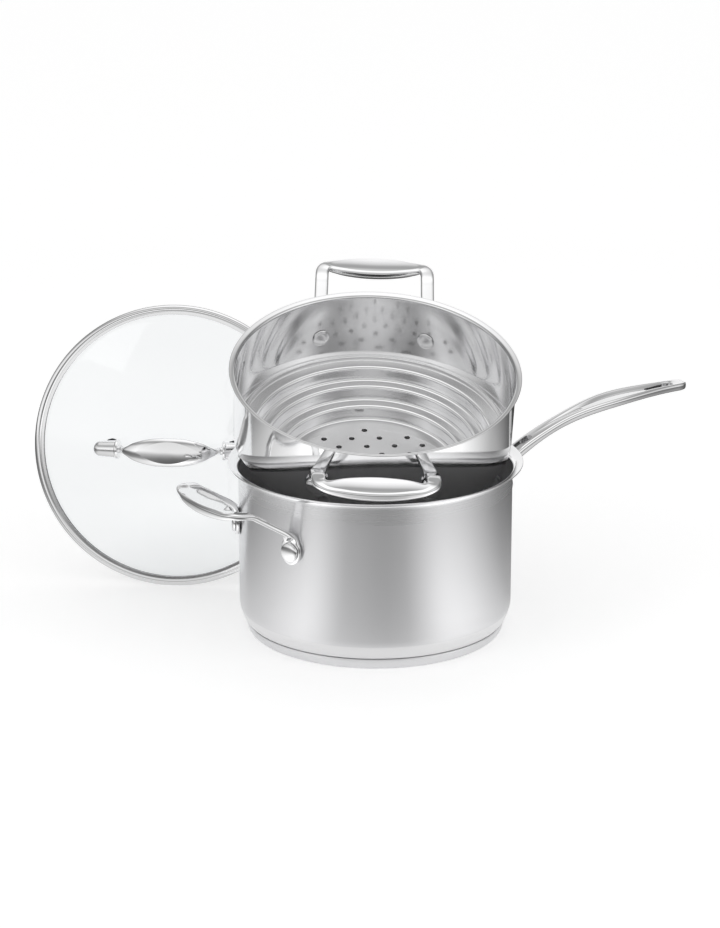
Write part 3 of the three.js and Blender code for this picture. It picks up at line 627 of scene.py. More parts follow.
def brushed_steel(name, colour, roughness, anisotropy, lines, depth, metallic=1.0):
    """Steel brushed on a lathe: fine lines that run round the axis, on walls and on flats."""
    material, tree, place = node_material(name)
    flat, reach = flattened(tree, place)
    level = computed(tree, "ADD", split(tree, place)["Z"], reach)
    around = split(tree, vector_computed(tree, "NORMALIZE", "Vector", flat))
    brush = added(tree, "CombineXYZ", {
        "X": around["X"], "Y": around["Y"], "Z": computed(tree, "MULTIPLY", level, lines),
    })
    strokes = noise(tree, brush.outputs["Vector"], STROKE_SCALE, 3)
    tangent = added(tree, "Tangent", {}, direction_type="RADIAL", axis="Z")
    surface(tree, {
        "Metallic": metallic,
        "Anisotropic": anisotropy,
        "Anisotropic Rotation": HIGHLIGHT_TURN,
        "Tangent": tangent.outputs["Tangent"],
        "Roughness": spread(tree, strokes, *(roughness * share for share in STROKE_GLOSS)),
        "Base Color": tinted(tree, strokes, [c * STROKE_TINT for c in colour], colour),
        "Normal": bump(tree, strokes, depth, STROKE_HEIGHT),
    })
    return material


def clear_glass(name, colour):
    material, tree, place = node_material(name)
    wipes = noise(tree, place, GLASS_WIPE_SCALE, 4)
    surface(tree, {
        "Base Color": (*colour, 1),
        "Transmission Weight": 1.0,
        "IOR": GLASS_IOR,
        "Roughness": spread(tree, wipes, 0, GLASS_ROUGHNESS),
    })
    return material


def matte(name, dark, light, roughness, grain):
    material, tree, place = node_material(name)
    speckle = noise(tree, place, grain, 3)
    surface(tree, {
        "Roughness": roughness,
        "Base Color": tinted(tree, speckle, dark, light),
        "Normal": bump(tree, speckle, SPECKLE_DEPTH, SPECKLE_HEIGHT),
    })
    return material


STEEL = (0.80, 0.80, 0.81)
BRIGHT_STEEL = (0.9, 0.9, 0.905)
SATIN_STEEL = (0.88, 0.88, 0.885)
ALUMINIUM = (0.7, 0.71, 0.72)
CLEAR_GLASS = (0.925, 0.938, 0.944)
DARK_SILICONE = (0.035, 0.037, 0.04)
LIGHT_SILICONE = (0.055, 0.057, 0.06)
wall_steel = brushed_steel("wall_steel", STEEL, roughness=0.33, anisotropy=0.95, lines=900, depth=0.035)
band_steel = brushed_steel("band_steel", STEEL, roughness=0.28, anisotropy=0.95, lines=900, depth=0.015)
flat_steel = brushed_steel(
    "flat_steel", BRIGHT_STEEL, roughness=0.11, anisotropy=0.85, lines=700, depth=0.12,
)
mirror_steel = polished_steel("mirror_steel", BRIGHT_STEEL, roughness=0.085)
lip_steel = polished_steel("lip_steel", BRIGHT_STEEL, roughness=0.06)
satin_steel = brushed_steel(
    "satin_steel", SATIN_STEEL, roughness=0.34, anisotropy=0.8, lines=500, depth=0.12, metallic=0.55,
)
cast_steel = polished_steel("cast_steel", BRIGHT_STEEL, roughness=0.06, waviness=0.04)
rivet_steel = polished_steel("rivet_steel", BRIGHT_STEEL, roughness=0.14, waviness=0.05)
glass = clear_glass("lid_clear_glass", CLEAR_GLASS)
silicone = matte("grey_silicone", DARK_SILICONE, LIGHT_SILICONE, roughness=0.65, grain=400)
aluminium = brushed_steel(
    "core_aluminium", ALUMINIUM, roughness=0.42, anisotropy=0.2, lines=400, depth=0.2,
)


# Where the loose pieces rest

def turn(axis, angle):
    return Matrix.Rotation(radians(angle), 4, axis)


def seated(rotation, solid, node):
    """The rotation with the shift that brings a turned solid onto its CAD node."""
    points = [rotation @ (Vector(point) * MM) for point in solid[0]]
    low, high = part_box(node)
    middle = [(min(p[i] for p in points) + max(p[i] for p in points)) / 2 for i in range(3)]
    return Matrix.Translation((low + high) / 2 - Vector(middle)) @ rotation


def stand_for(piece, body, slot, *nodes):
    """Puts a piece on a body, in the place of its CAD nodes."""
    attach(piece, body)
    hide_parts(*nodes)


# Saucepan

def lip(wall_radius, wall, reach, bend, top):
    """Outside, edge and inside of a lip, from the wall up: a bend and a flat part past it."""
    sweep = radians(LIP_SWEEP)
    flat = (reach - bend * (1 - cos(sweep))) / sin(sweep)
    run, rise = flat * sin(sweep), flat * cos(sweep)
    centre = (wall_radius + bend, top - rise - (bend + wall) * sin(sweep))

    def face(radius):
        curve = arc(centre, radius, 180, 180 - LIP_SWEEP, LIP_STEPS)
        return [*curve, (curve[-1][0] + run, curve[-1][1] + rise)]

    outside, inside = face(bend), face(bend + wall)
    edge = rounded_edge(outside[-1], inside[-1], (sin(sweep), cos(sweep)))
    return outside, edge, inside


pot_inner = POT_RADIUS - POT_WALL
pot_under = BASE_HEIGHT + SEAT
base_radius = POT_RADIUS - BASE_INSET
pot_floor = pot_under + POT_FLOOR


def pot_solid():
    turn_under = acos(1 - BASE_INSET / POT_FOOT_CURVE)
    foot = (POT_RADIUS - POT_FOOT_CURVE, pot_under + POT_FOOT_CURVE * sin(turn_under))
    foot_arc = arc(foot, POT_FOOT_CURVE, -degrees(turn_under), 0, BEND_STEPS)
    outside, edge, inside = lip(POT_RADIUS, POT_WALL, POT_LIP, POT_LIP_BEND, POT_HEIGHT)
    curve = (pot_inner - POT_INSIDE_CURVE, pot_floor + POT_INSIDE_CURVE)
    return lathe([
        (0, pot_under),
        (base_radius - 2 * GROOVE_ROUND, pot_under),
        (base_radius - GROOVE_ROUND * 0.4, pot_under + GROOVE_ROUND * 0.35),
        *foot_arc[1:],
        (POT_RADIUS, POLISHED_FROM),
        *outside,
        *edge,
        *reversed(inside),
        (pot_inner, INSIDE_POLISHED_FROM),
        *arc(curve, POT_INSIDE_CURVE, 0, -90, BEND_STEPS),
        (pot_inner / 2, pot_floor),
        (0, pot_floor),
    ])


def pot_finish(centre, normal):
    """Brushed wall with a finer top band, polished lip, satin inside."""
    reach = hypot(centre.x, centre.y)
    if reach > POT_RADIUS + POT_WALL / 2 or centre.z > POT_HEIGHT - POT_LIP_BEND:
        return 3
    if reach < POT_RADIUS - POT_WALL / 2 and centre.z > pot_under + POT_FLOOR / 2:
        return 3 if centre.z > INSIDE_POLISHED_FROM else 2
    return 1 if centre.z > POLISHED_FROM else 0


def cap_solid():
    bottom = base_radius - BASE_CAP_TAPER
    wall = BASE_CAP_WALL
    return lathe([
        (0, 0),
        (bottom / 2, 0),
        (bottom - wall, 0),
        *((bottom + BASE_CAP_TAPER * out, BASE_HEIGHT * up) for out, up in CAP_SIDE),
        (base_radius, BASE_HEIGHT - GROOVE_ROUND),
        (base_radius - GROOVE_ROUND * 0.3, BASE_HEIGHT - GROOVE_ROUND * 0.3),
        (base_radius - wall, BASE_HEIGHT),
        (bottom + BASE_CAP_TAPER * 0.75 - wall, BASE_HEIGHT * 0.45),
        (bottom - wall, wall),
        (0, wall),
    ])


# Steamer

steamer_radius = pot_inner + STEAMER_OVERHANG
steamer_inner = steamer_radius - STEAMER_WALL
step_radii = [pot_inner - STEP_CLEARANCE]
for step_width in STEP_WIDTHS:
    step_radii.append(step_radii[-1] - step_width)
steamer_depth = STEAMER_WALL_DEPTH + len(step_radii) * STEP_DEPTH
steamer_floor = STEAMER_WALL - steamer_depth


def step_outline(inset):
    """From the floor up to the wall: each ridge is a short upright with a shelf above it."""
    points = []
    for step in reversed(range(len(step_radii))):
        radius = step_radii[step] - inset
        foot = inset - STEAMER_WALL_DEPTH - (step + 1) * STEP_DEPTH
        bend = STEP_CURVE - inset
        points += arc((radius - bend, foot + bend), bend, -90, 0, RIDGE_STEPS)
        shelf = inset - STEAMER_WALL_DEPTH - step * STEP_DEPTH
        crook = STEP_CURVE / 2 + inset
        points += arc((radius + crook, shelf - crook), crook, 180, 90, RIDGE_STEPS)
    return points


def steamer_solid():
    shoulder = (steamer_radius - STEP_CURVE / 2, STEP_CURVE / 2 - STEAMER_WALL_DEPTH)
    outside, edge, inside = lip(steamer_radius, STEAMER_WALL, STEAMER_LIP, STEAMER_LIP_BEND, 0)
    shelf = STEAMER_WALL - STEAMER_WALL_DEPTH
    bead_middle = steamer_inner - SHELF_BEAD_INSET
    bead = arc((0, 0), SHELF_BEAD, 0, 180, SHELF_BEAD_STEPS)
    return lathe([
        *((radius, -steamer_depth) for radius in FLOOR_RINGS),
        *step_outline(0),
        *arc(shoulder, STEP_CURVE / 2, -90, 0, SHOULDER_STEPS),
        *outside,
        *edge,
        *reversed(inside),
        *reversed(arc(shoulder, STEP_CURVE / 2 - STEAMER_WALL, -90, 0, SHOULDER_STEPS)),
        *((bead_middle + SHELF_BEAD_SPREAD * x, shelf + y) for x, y in bead),
        *reversed(step_outline(STEAMER_WALL)),
        *((radius, steamer_floor) for radius in reversed(FLOOR_RINGS)),
    ])


def steamer_finish(centre, normal):
    """Mirror walls; the ridges and the floor inside are lathe-brushed."""
    inside = normal.z > 0.2 or normal.dot(Vector((centre.x, centre.y, 0))) < 0
    return 1 if inside and centre.z < -STEAMER_WALL_DEPTH + STEP_CURVE else 0


def drain_holes():
    """One mesh of all the drills."""
    low, high = -steamer_depth - DRILL_PAST, steamer_floor + DRILL_PAST
    radius = HOLE_DIAMETER / 2
    drill = lathe([(0, low), (radius, low), (radius, high), (0, high)], HOLE_STEPS)
    field = step_radii[-1] - HOLE_MARGIN
    reach = ceil(field / HOLE_PITCH)
    drills = ([], [])
    for shift_x, shift_y in ((0.5, 0), (0, 0.5)):
        for i in range(-reach, reach + 1):
            for j in range(-reach, reach + 1):
                x, y = (i + shift_x) * HOLE_PITCH, (j + shift_y) * HOLE_PITCH
                if hypot(x, y) <= field:
                    drills = both(drills, moved(drill, Matrix.Translation((x, y, 0))))
    return moved(drills, turn("Z", HOLE_TURN))


# Rivets and loop handles

def rivet(node, body, origin, direction, inner_face, outer_face, place=Matrix()):
    """A rivet along a direction; its faces are distances from the origin."""
    edge = RIVET_DOME * RIVET_EDGE
    inner_edge = RIVET_INNER_DOME * RIVET_INNER_EDGE
    inner = [(r, inner_face - h) for r, h in dome(RIVET_INNER_HEAD, inner_edge, RIVET_INNER_DOME)]
    profile = [
        *reversed(inner),
        (RIVET_INNER_HEAD, inner_face),
        (RIVET_SHANK, inner_face),
        (RIVET_SHANK, outer_face),
        (RIVET_HEAD, outer_face),
        *((r, outer_face + h) for r, h in dome(RIVET_HEAD, edge, RIVET_DOME)),
    ]
    aim = Vector((0, 0, 1)).rotation_difference(direction).to_matrix().to_4x4()
    solid = moved(lathe(profile, SMALL_STEPS), Matrix.Translation(origin) @ aim)
    piece = make(f"{node}_dome", solid, [rivet_steel], place)
    stand_for(piece, body, "polished_steel", node)


def inside_face(wall_inner, offset):
    """How far from the axis a rivet's inner head can lie on a wall."""
    return sqrt(wall_inner ** 2 - (offset + RIVET_INNER_HEAD) ** 2) - SEAT


SIDES = (("left", 1), ("right", -1))


def mirrored(station):
    point, down, *rest = station
    flip = Vector((-1, 1, 1))
    return (Vector(point) * flip, Vector(down) * flip, *rest)


FLAT_POWER = 0.42  # section of the strap-like legs and tabs
ROUND_POWER = 0.8  # section of the grips


def loop_stations(wall_radius):
    """Cast loop: x along the grip, y outwards, z up from the rivets."""
    bend = radians(LOOP_RIVET_ANGLE)
    outwards = Vector((sin(bend), cos(bend), 0))
    tab = outwards * (wall_radius + SEAT + TAB_THICKNESS / 2)
    tab_radius = RIVET_HEAD + TAB_MARGIN
    leg_side = LOOP_WIDTH / 2 - LEG_WIDTH / 2
    leg_start = tab_radius + LEG_THICKNESS * 0.7
    elbow = LOOP_REACH - LOOP_ARM
    elbow_rise = LOOP_RISE - ARM_RISE
    under = Vector((0, 0, -1))
    leg_down = Vector((0, 1, -1)).normalized()

    def station(x, reach, rise, down, width, thickness, power=FLAT_POWER, belly=0.5):
        point = Vector((x, tab.y + reach, rise))
        return (point, down, width / 2, thickness * (1 - belly), thickness * belly, power)

    def on_tab(angle):
        """Stations round the tab's lower end, by angle from its bottom."""
        rise = -TAB_STRETCH * tab_radius * cos(radians(angle))
        width = 2 * tab_radius * sin(radians(angle))
        return station(tab.x, 0, rise, outwards, width, TAB_THICKNESS)

    def on_leg(share):
        x = tab.x + (leg_side - tab.x) * share
        rise = leg_start + (elbow_rise - leg_start) * share
        return station(x, elbow * share, rise, leg_down, LEG_WIDTH, LEG_THICKNESS)

    def on_arm(side, from_grip, rise, thickness, power):
        return station(
            leg_side * side, LOOP_REACH - LEG_WIDTH * from_grip, LOOP_RISE - ARM_RISE * rise, under,
            LEG_WIDTH, LEG_THICKNESS * thickness, power,
        )

    def on_grip(share, width, thickness):
        return station(
            leg_side * share, LOOP_REACH, LOOP_RISE, under,
            GRIP_WIDTH * width, GRIP_THICKNESS * thickness, ROUND_POWER, GRIP_BELLY,
        )

    half = [
        *(on_tab(angle) for angle in TAB_ANGLES),
        station(tab.x, 0, tab_radius * 0.6, outwards, tab_radius * 1.8, TAB_THICKNESS),
        station(
            tab.x, LEG_THICKNESS * 0.1, leg_start * 0.85, outwards,
            LEG_WIDTH * 1.1, LEG_THICKNESS * 0.85,
        ),
        *(on_leg(share) for share in LEG_SHARES),
        station(
            leg_side, elbow + LEG_THICKNESS * 0.5, elbow_rise + ARM_RISE * 0.4, under,
            LEG_WIDTH, LEG_THICKNESS, 0.5,
        ),
        *(on_arm(*shares) for shares in ARM_SECTIONS),
        *(on_grip(*shares) for shares in GRIP_SECTIONS),
    ]
    return [*half, on_grip(0, 1, 1), *(mirrored(s) for s in reversed(half))], outwards


def loop_handle(prefix, body, wall_radius, wall_inner, angle, height, place=Matrix()):
    """A loop handle with its two rivets, turned about the vessel's axis to its place."""
    stations, outwards = loop_stations(wall_radius)
    facet = lens_of(GRIP_FACET_LENGTH, GRIP_FACET_WIDTH, GRIP_FACET_DISH)
    solid, creases = bar(stations, LOOP_PIECES, facet)
    spin = Matrix.Translation((0, 0, height)) @ turn("Z", angle)
    handle = make(f"{prefix}_loop", moved(solid, spin), [cast_steel], place, creases=creases)
    stand_for(handle, body, "cast_steel", f"{prefix}_handle")
    outer_face = wall_radius + TAB_THICKNESS + 2 * SEAT
    for side, mirror in SIDES:
        way = turn("Z", angle) @ Vector((outwards.x * mirror, outwards.y, 0))
        origin = Vector((0, 0, height))
        rivet(f"{prefix}_rivet_{side}", body, origin, way, inside_face(wall_inner, 0), outer_face, place)


# Long handle

handle_root = POT_HEIGHT - HANDLE_ROOT_DEPTH
handle_rivet_spacing = HANDLE_ROOT_WIDTH + 2 * (PLATE_CLEARANCE + RIVET_HEAD)
plate_width = handle_rivet_spacing + 2 * (RIVET_HEAD + PLATE_MARGIN)
handle_end = POT_RADIUS + HANDLE_LENGTH


def handle_ring(share):
    """A section of the arm: a long lens-shaped pocket between two flat rims, over a keel."""
    half_width = through(HANDLE_WIDTHS, share) / 2
    half_depth = HANDLE_THICKNESS * through(HANDLE_DEPTHS, share) / 2
    scoop = HANDLE_SCOOP * through(SCOOP_DEPTHS, share)
    edge = half_width * through(POCKET_EDGES, share)
    foot = edge - min(POCKET_SLOPE, edge * POCKET_SLOPE_MOST)
    bottom = half_depth - scoop
    right = [(across * half_width, up * half_depth, rounding) for across, up, rounding in HANDLE_SIDE]
    outline = fillet([
        *((-x, y, rounding) for x, y, rounding in right),
        (0, -half_depth, KEEL_ROUND),
        *reversed(right),
        (edge, half_depth, POCKET_ROUND), (foot, bottom, 0),
        (-foot, bottom, 0), (-edge, half_depth, POCKET_ROUND),
    ])
    start = POT_RADIUS + 2 * SEAT
    reach = start + (handle_end - start) * share
    left = 1 - share
    slope = HANDLE_CURVE * HANDLE_RISE * left ** (HANDLE_CURVE - 1) / HANDLE_LENGTH
    lean = atan(slope) * smooth_step(share / HANDLE_UPRIGHT)
    height = handle_root + HANDLE_RISE * (1 - left ** HANDLE_CURVE)
    return [(reach - z * sin(lean), y, height + z * cos(lean)) for y, z in outline]


def end_ring(ring, shrink, reach):
    """A smaller copy of the last section, pushed out to round the handle's end."""
    middle = sum((Vector(point) for point in ring), Vector()) / len(ring)
    return [middle + (Vector(point) - middle) * shrink + Vector((reach, 0, 0)) for point in ring]


def stadium_prism(length, width, x, low, high):
    """A cutter with round ends, upright."""
    outline = stadium((length - width) / 2, width / 2, SLOT_STEPS)
    return loft([[(x + u, v, z) for u, v in outline] for z in (low, high)])


def plate_solid():
    """The riveted root plate: its back follows the saucepan's wall."""
    straight, radius = (plate_width - PLATE_HEIGHT) / 2, PLATE_HEIGHT / 2
    back = POT_RADIUS + SEAT
    outline = stadium(straight, radius, BEND_STEPS)
    rings = [[(sqrt(back ** 2 - y ** 2), y, handle_root + z) for y, z in outline]]
    for inset, behind in PLATE_EDGE:
        outline = stadium(straight, radius - inset, BEND_STEPS)
        rings.append([(back + PLATE_THICKNESS - behind, y, handle_root + z) for y, z in outline])
    return loft(rings)


def long_handle():
    rings = [handle_ring(share) for share in HANDLE_SHARES]
    last = handle_ring(1)
    rings += [end_ring(last, shrink, reach) for shrink, reach in HANDLE_END]
    arm = make("long_handle_arm", loft(rings), [cast_steel])
    slot_middle = handle_end - HANG_SLOT_MARGIN - HANG_SLOT_LENGTH / 2
    slot = stadium_prism(
        HANG_SLOT_LENGTH, HANG_SLOT_WIDTH, slot_middle, handle_root, handle_root + POT_HEIGHT,
    )
    opening = stadium_prism(
        ROOT_OPENING_LENGTH, ROOT_OPENING_WIDTH, POT_RADIUS + ROOT_OPENING_REACH,
        handle_root - POT_HEIGHT / 2, handle_root + POT_HEIGHT / 2,
    )
    cut(arm, make("handle_cutter", both(slot, opening), [cast_steel]))
    stand_for(arm, "saucepan", "cast_steel", "long_handle")
    plate = make("long_handle_plate", plate_solid(), [cast_steel])
    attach(plate, "saucepan")
    outer_face = POT_RADIUS + PLATE_THICKNESS + 2 * SEAT
    inner_face = inside_face(pot_inner, handle_rivet_spacing / 2)
    for side, mirror in SIDES:
        origin = Vector((0, mirror * handle_rivet_spacing / 2, handle_root))
        rivet(f"long_handle_rivet_{side}", "saucepan", origin, Vector((1, 0, 0)), inner_face, outer_face)


# Lid: z points out of its top face, x along its handle

lid_radius = POT_RADIUS + POT_LIP + LID_OVERHANG
band_inner = lid_radius - LID_BAND_WIDTH
glass_radius = band_inner + GLASS_EDGE
dome_rim = band_inner - GLASS_MARGIN
dome_radius = (dome_rim ** 2 + GLASS_DOME ** 2) / (2 * GLASS_DOME)
foot_reach = FOOT_SPACING / 2
foot_tilt = asin(foot_reach / dome_radius)
foot_under = PAD_THICKNESS + 2 * SEAT
foot_axis = foot_under + BOSS_RISE + FOOT_RADIUS


def glass_top(radius):
    return GLASS_THICKNESS + sqrt(dome_radius ** 2 - radius ** 2) - (dome_radius - GLASS_DOME)


foot_place = Matrix.Translation((foot_reach, 0, glass_top(foot_reach))) @ Matrix.Rotation(foot_tilt, 4, "Y")


def glass_solid():
    radii = [dome_rim * k / GLASS_RINGS for k in range(GLASS_RINGS + 1)]
    upper = [(radius, glass_top(radius)) for radius in radii]
    under = [(radius, height - GLASS_THICKNESS) for radius, height in upper]
    return lathe([*under, (glass_radius, 0), (glass_radius, GLASS_THICKNESS), *reversed(upper)])


def band_solid():
    """A steel channel crimped on the glass: an inner flange, a fine groove and a rolled outer bead."""
    low, high = -SEAT, GLASS_THICKNESS + SEAT
    bottom, top = low - LID_BAND_WALL, high + LID_BAND_WALL
    bead = (top - bottom) / 2 * BAND_BEAD
    bead_centre = (lid_radius - bead, (top + bottom) / 2)
    groove = glass_radius + SEAT
    flange, *groove_floor = (band_inner + LID_BAND_WIDTH * share for share in BAND_GROOVE)
    return lathe([
        (band_inner, high),
        (band_inner, top - BAND_EDGE),
        (band_inner + BAND_EDGE, top),
        (flange, top),
        *((radius, top - BAND_GROOVE_DEPTH) for radius in groove_floor),
        *arc(bead_centre, bead, *BAND_BEAD_SWEEP, BAND_BEAD_STEPS),
        (band_inner + LID_BAND_WALL * 2.2, bottom),
        (band_inner + LID_BAND_WALL * 2, low - LID_SEAT_DROP),
        (band_inner + LID_BAND_WALL / 2, low - LID_SEAT_DROP),
        (band_inner, low),
        (groove, low),
        (groove, high),
    ], ring=True)


def foot_solid():
    """A bullet-shaped foot with a collar, on a short boss."""
    inner, outer = -FOOT_LENGTH / 2, FOOT_LENGTH / 2
    tip = FOOT_TIP_RADIUS
    bullet = lathe([
        (0, inner),
        *((FOOT_RADIUS * share, inner + along) for share, along in FOOT_COLLAR),
        *((r, outer - tip + h) for r, h in dome(tip * FOOT_TIP_SPREAD, 0, tip, FOOT_TIP_STEPS)),
    ], SMALL_STEPS)
    boss = lathe([
        (0, foot_under), (BOSS_RADIUS - BOSS_EDGE, foot_under), (BOSS_RADIUS, foot_under + BOSS_EDGE),
        (BOSS_RADIUS, foot_axis), (0, foot_axis),
    ], SMALL_STEPS)
    lying = Matrix.Translation((0, 0, foot_axis)) @ turn("Y", 90)
    return both(moved(bullet, lying), boss)


def lid_grip():
    """The lid's handle: two necks out of the feet, and an almond-shaped grip between them."""
    collar = -FOOT_LENGTH / 2
    bend = foot_place @ Vector((collar - NECK_RADIUS, 0, foot_axis + NECK_RADIUS * 0.35))
    under, inwards = Vector((0, 0, -1)), Vector((-1, 0, 0))
    slanted = Vector((-1, 0, -1)).normalized()

    def neck(point, down):
        return (point, down, NECK_RADIUS, NECK_RADIUS, NECK_RADIUS, 1.0)

    def on_arch(share, rise, width, thickness, down, power=ROUND_POWER):
        point = Vector((bend.x * share, 0, bend.z + LID_GRIP_RISE * rise))
        return (point, down, width / 2, thickness / 2, thickness / 2, power)

    half = [
        neck(foot_place @ Vector((collar + FOOT_SOCKET_DEPTH - 2 * SEAT, 0, foot_axis)), under),
        neck(foot_place @ Vector((collar, 0, foot_axis)), under),
        neck(bend, slanted),
        on_arch(0.95, 0.3, NECK_RADIUS * 2, NECK_RADIUS * 2, inwards, 1.0),
        on_arch(0.88, 0.6, LID_GRIP_WIDTH * 0.34, LID_GRIP_THICKNESS * 0.75, slanted),
        on_arch(0.7, 0.82, LID_GRIP_WIDTH * 0.66, LID_GRIP_THICKNESS * 0.86, under),
        on_arch(0.36, 0.95, LID_GRIP_WIDTH * 0.94, LID_GRIP_THICKNESS * 0.97, under),
    ]
    middle = on_arch(0, 1, LID_GRIP_WIDTH, LID_GRIP_THICKNESS, under)
    facet = lens_of(LID_FACET_LENGTH, LID_FACET_WIDTH, LID_FACET_DISH)
    return bar([*half, middle, *(mirrored(s) for s in reversed(half))], LID_PIECES, facet)


def lid():
    rotation = turn("Z", VIEW_TURN) @ turn("Z", LID_TURN) @ turn("X", 90 - LID_LEAN)
    band = band_solid()
    place = seated(rotation, band, "lid_band")
    stand_for(make("lid_dome", glass_solid(), [glass], place), "lid", "glass", "lid_glass")
    stand_for(make("lid_rim", band, [mirror_steel], place), "lid", "polished_steel", "lid_band")
    solid, creases = lid_grip()
    grip = make("lid_grip", solid, [cast_steel], place, creases=creases)
    stand_for(grip, "lid", "cast_steel", "lid_handle")
    for side, half_turn in (("right", 0), ("left", 180)):
        foot = moved(foot_solid(), turn("Z", half_turn) @ foot_place)
        piece = make(f"lid_foot_{side}_bullet", foot, [rivet_steel], place)
        stand_for(piece, "lid", "polished_steel", f"lid_foot_{side}")


# Assembly

def saucepan():
    pot = make("pot_shell", pot_solid(), [wall_steel, band_steel, satin_steel, lip_steel], pick=pot_finish)
    stand_for(pot, "saucepan", "brushed_steel", "pot_body")
    stand_for(make("base_cup", cap_solid(), [wall_steel]), "saucepan", "brushed_steel", "base_cap")
    long_handle()
    loop_handle("helper", "saucepan", POT_RADIUS, pot_inner, 90, POT_HEIGHT - HELPER_RIVET_DEPTH)


def steamer():
    solid = steamer_solid()
    rotation = turn("Z", VIEW_TURN) @ turn("X", STEAMER_TILT) @ turn("Y", STEAMER_ROLL)
    place = seated(rotation, solid, "steamer_body")
    shell = make(
        "steamer_shell", solid, [mirror_steel, flat_steel], place, steamer_finish,
        axis=place @ turn("Z", -VIEW_TURN),
    )
    cut(shell, make("drill_cutter", drain_holes(), [mirror_steel], place))
    stand_for(shell, "steamer", "polished_steel", "steamer_body")
    for prefix, angle in (("steamer_front", 180), ("steamer_rear", 0)):
        loop_handle(prefix, "steamer", steamer_radius, steamer_inner, angle, -STEAMER_RIVET_DEPTH, place)


def carried_over():
    """Hidden CAD nodes keep their shapes and take these finishes."""
    finishes = {"base_core": aluminium}
    for side in ("right", "left"):
        finishes[f"lid_pad_{side}"] = silicone
        finishes[f"lid_washer_{side}"] = silicone
        finishes[f"lid_screw_{side}"] = mirror_steel
    for node, material in finishes.items():
        slots = frame["nodes"][node].data.materials
        slots.clear()
        slots.append(material)


# Stage, light and camera

FLOOR_SIZE = 4.0  # half its side, in metres
FLOOR_COLOUR = (0.92, 0.92, 0.92, 1)
FLOOR_ROUGHNESS = 0.9
FLOOR_GLOSS = 0.1
FLOOR_GLOW = 0.34  # lifts it to white where it is seen
WHITE = (1, 1, 1, 1)


def seen_ray(tree):
    """1 for rays that show the background: camera, glossy and transmission rays."""
    path = added(tree, "LightPath", {}).outputs
    seen = computed(tree, "ADD", path["Is Camera Ray"], path["Is Glossy Ray"], clamp=True)
    return computed(tree, "ADD", seen, path["Is Transmission Ray"], clamp=True)


def stage_mesh(name, solid, material):
    """An object from points in metres and faces."""
    points, faces = solid
    mesh = bpy.data.meshes.new(name)
    mesh.from_pydata(points, [], faces)
    mesh.materials.append(material)
    return linked(name, mesh)


def floor():
    material, tree = node_material("floor_white")[:2]
    surface(tree, {
        "Base Color": FLOOR_COLOUR,
        "Roughness": FLOOR_ROUGHNESS,
        "Specular IOR Level": FLOOR_GLOSS,
        "Emission Color": WHITE,
        "Emission Strength": computed(tree, "MULTIPLY", seen_ray(tree), FLOOR_GLOW),
    })
    corners = [(x * FLOOR_SIZE, y * FLOOR_SIZE, 0) for x, y in ((-1, -1), (1, -1), (1, 1), (-1, 1))]
    piece = stage_mesh("floor", (corners, [(0, 1, 2, 3)]), material)


# Brightness of the studio's floor and of its sides at bearings from the camera, in degrees
FLOOR_TONES = (
    (-180, 0.1), (-162, 0.14), (-138, 0.45), (-100, 0.7), (-76, 0.88), (-57, 1.12), (-46, 1.25),
    (-38, 1.12), (-21, 0.58), (0, 0.42), (8, 0.4), (20, 0.5), (29, 0.78), (40, 1.15), (50, 1.28),
    (65, 1.2), (86, 0.9), (112, 0.54), (130, 0.42), (162, 0.14), (180, 0.1),
)
STUDIO_TONES = (
    (-180, 1.1), (-160, 1.1), (-140, 0.3), (-115, 0.25), (-89, 0.75), (-62, 0.98), (-48, 1.15),
    (-36, 1.0), (-20, 0.9), (8, 0.9), (22, 0.85), (43, 1.0), (58, 1.15), (82, 0.9), (101, 0.5),
    (115, 0.25), (140, 0.3), (160, 1.1), (180, 1.1),
)
FLOOR_UP_TO = (-8, 0)  # elevations between which the floor's tones give way to the sides'
# Share of that brightness at elevations seen from the middle of the set, in degrees
STUDIO_HEIGHTS = (
    (-45, 1.2), (-28, 1.15), (-20, 0.85), (-14, 0.32), (-6, 0.18), (-2, 0.25), (1, 0.5), (4, 1.0),
    (14, 0.9), (22, 0.85), (28, 0.75), (34, 0.55), (40, 0.38), (48, 0.42), (55, 0.72), (64, 0.98),
    (72, 1.15), (90, 1.15),
)
STUDIO_SIDES_TO = (32, 46)  # elevations between which the sides fade into an even ceiling
CEILING_TONE = 1.0
STUDIO_STEPS = 96
STUDIO_PROFILE = (  # radius and height of the cards, in metres
    (0.13, 0.001), (0.3, 0.001), (0.9, 0.001), (1.3, 0.05), (1.5, 0.3), (1.55, 0.8), (1.48, 1.2),
    (1.3, 1.5), (1.0, 1.75), (0.6, 1.9), (0.2, 1.95), (0.001, 1.96),
)


def share_between(tree, angle, low, high):
    """0 to 1 while an angle goes from one limit to the other, in degrees."""
    limits = {"From Min": radians(low), "From Max": radians(high)}
    return added(tree, "MapRange", {"Value": angle, **limits}).outputs["Result"]


def toned(tree, angle, tones):
    """Brightness at an angle, from pairs of degrees and tones."""
    low, high = tones[0][0], tones[-1][0]
    ramp = added(tree, "ValToRGB", {"Fac": share_between(tree, angle, low, high)})
    stops = ramp.color_ramp.elements
    while len(stops) < len(tones):
        stops.new(0.5)
    for stop, (at, tone) in zip(stops, tones):
        stop.position = (at - low) / (high - low)
        stop.color = (tone, tone, tone, 1)
    return ramp.outputs["Color"]


def faded(tree, angle, limits, first, second):
    """From one tone to another while an angle goes between two limits."""
    inputs = {"Factor": share_between(tree, angle, *limits), "A": first, "B": second}
    return added(tree, "Mix", inputs).outputs["Result"]


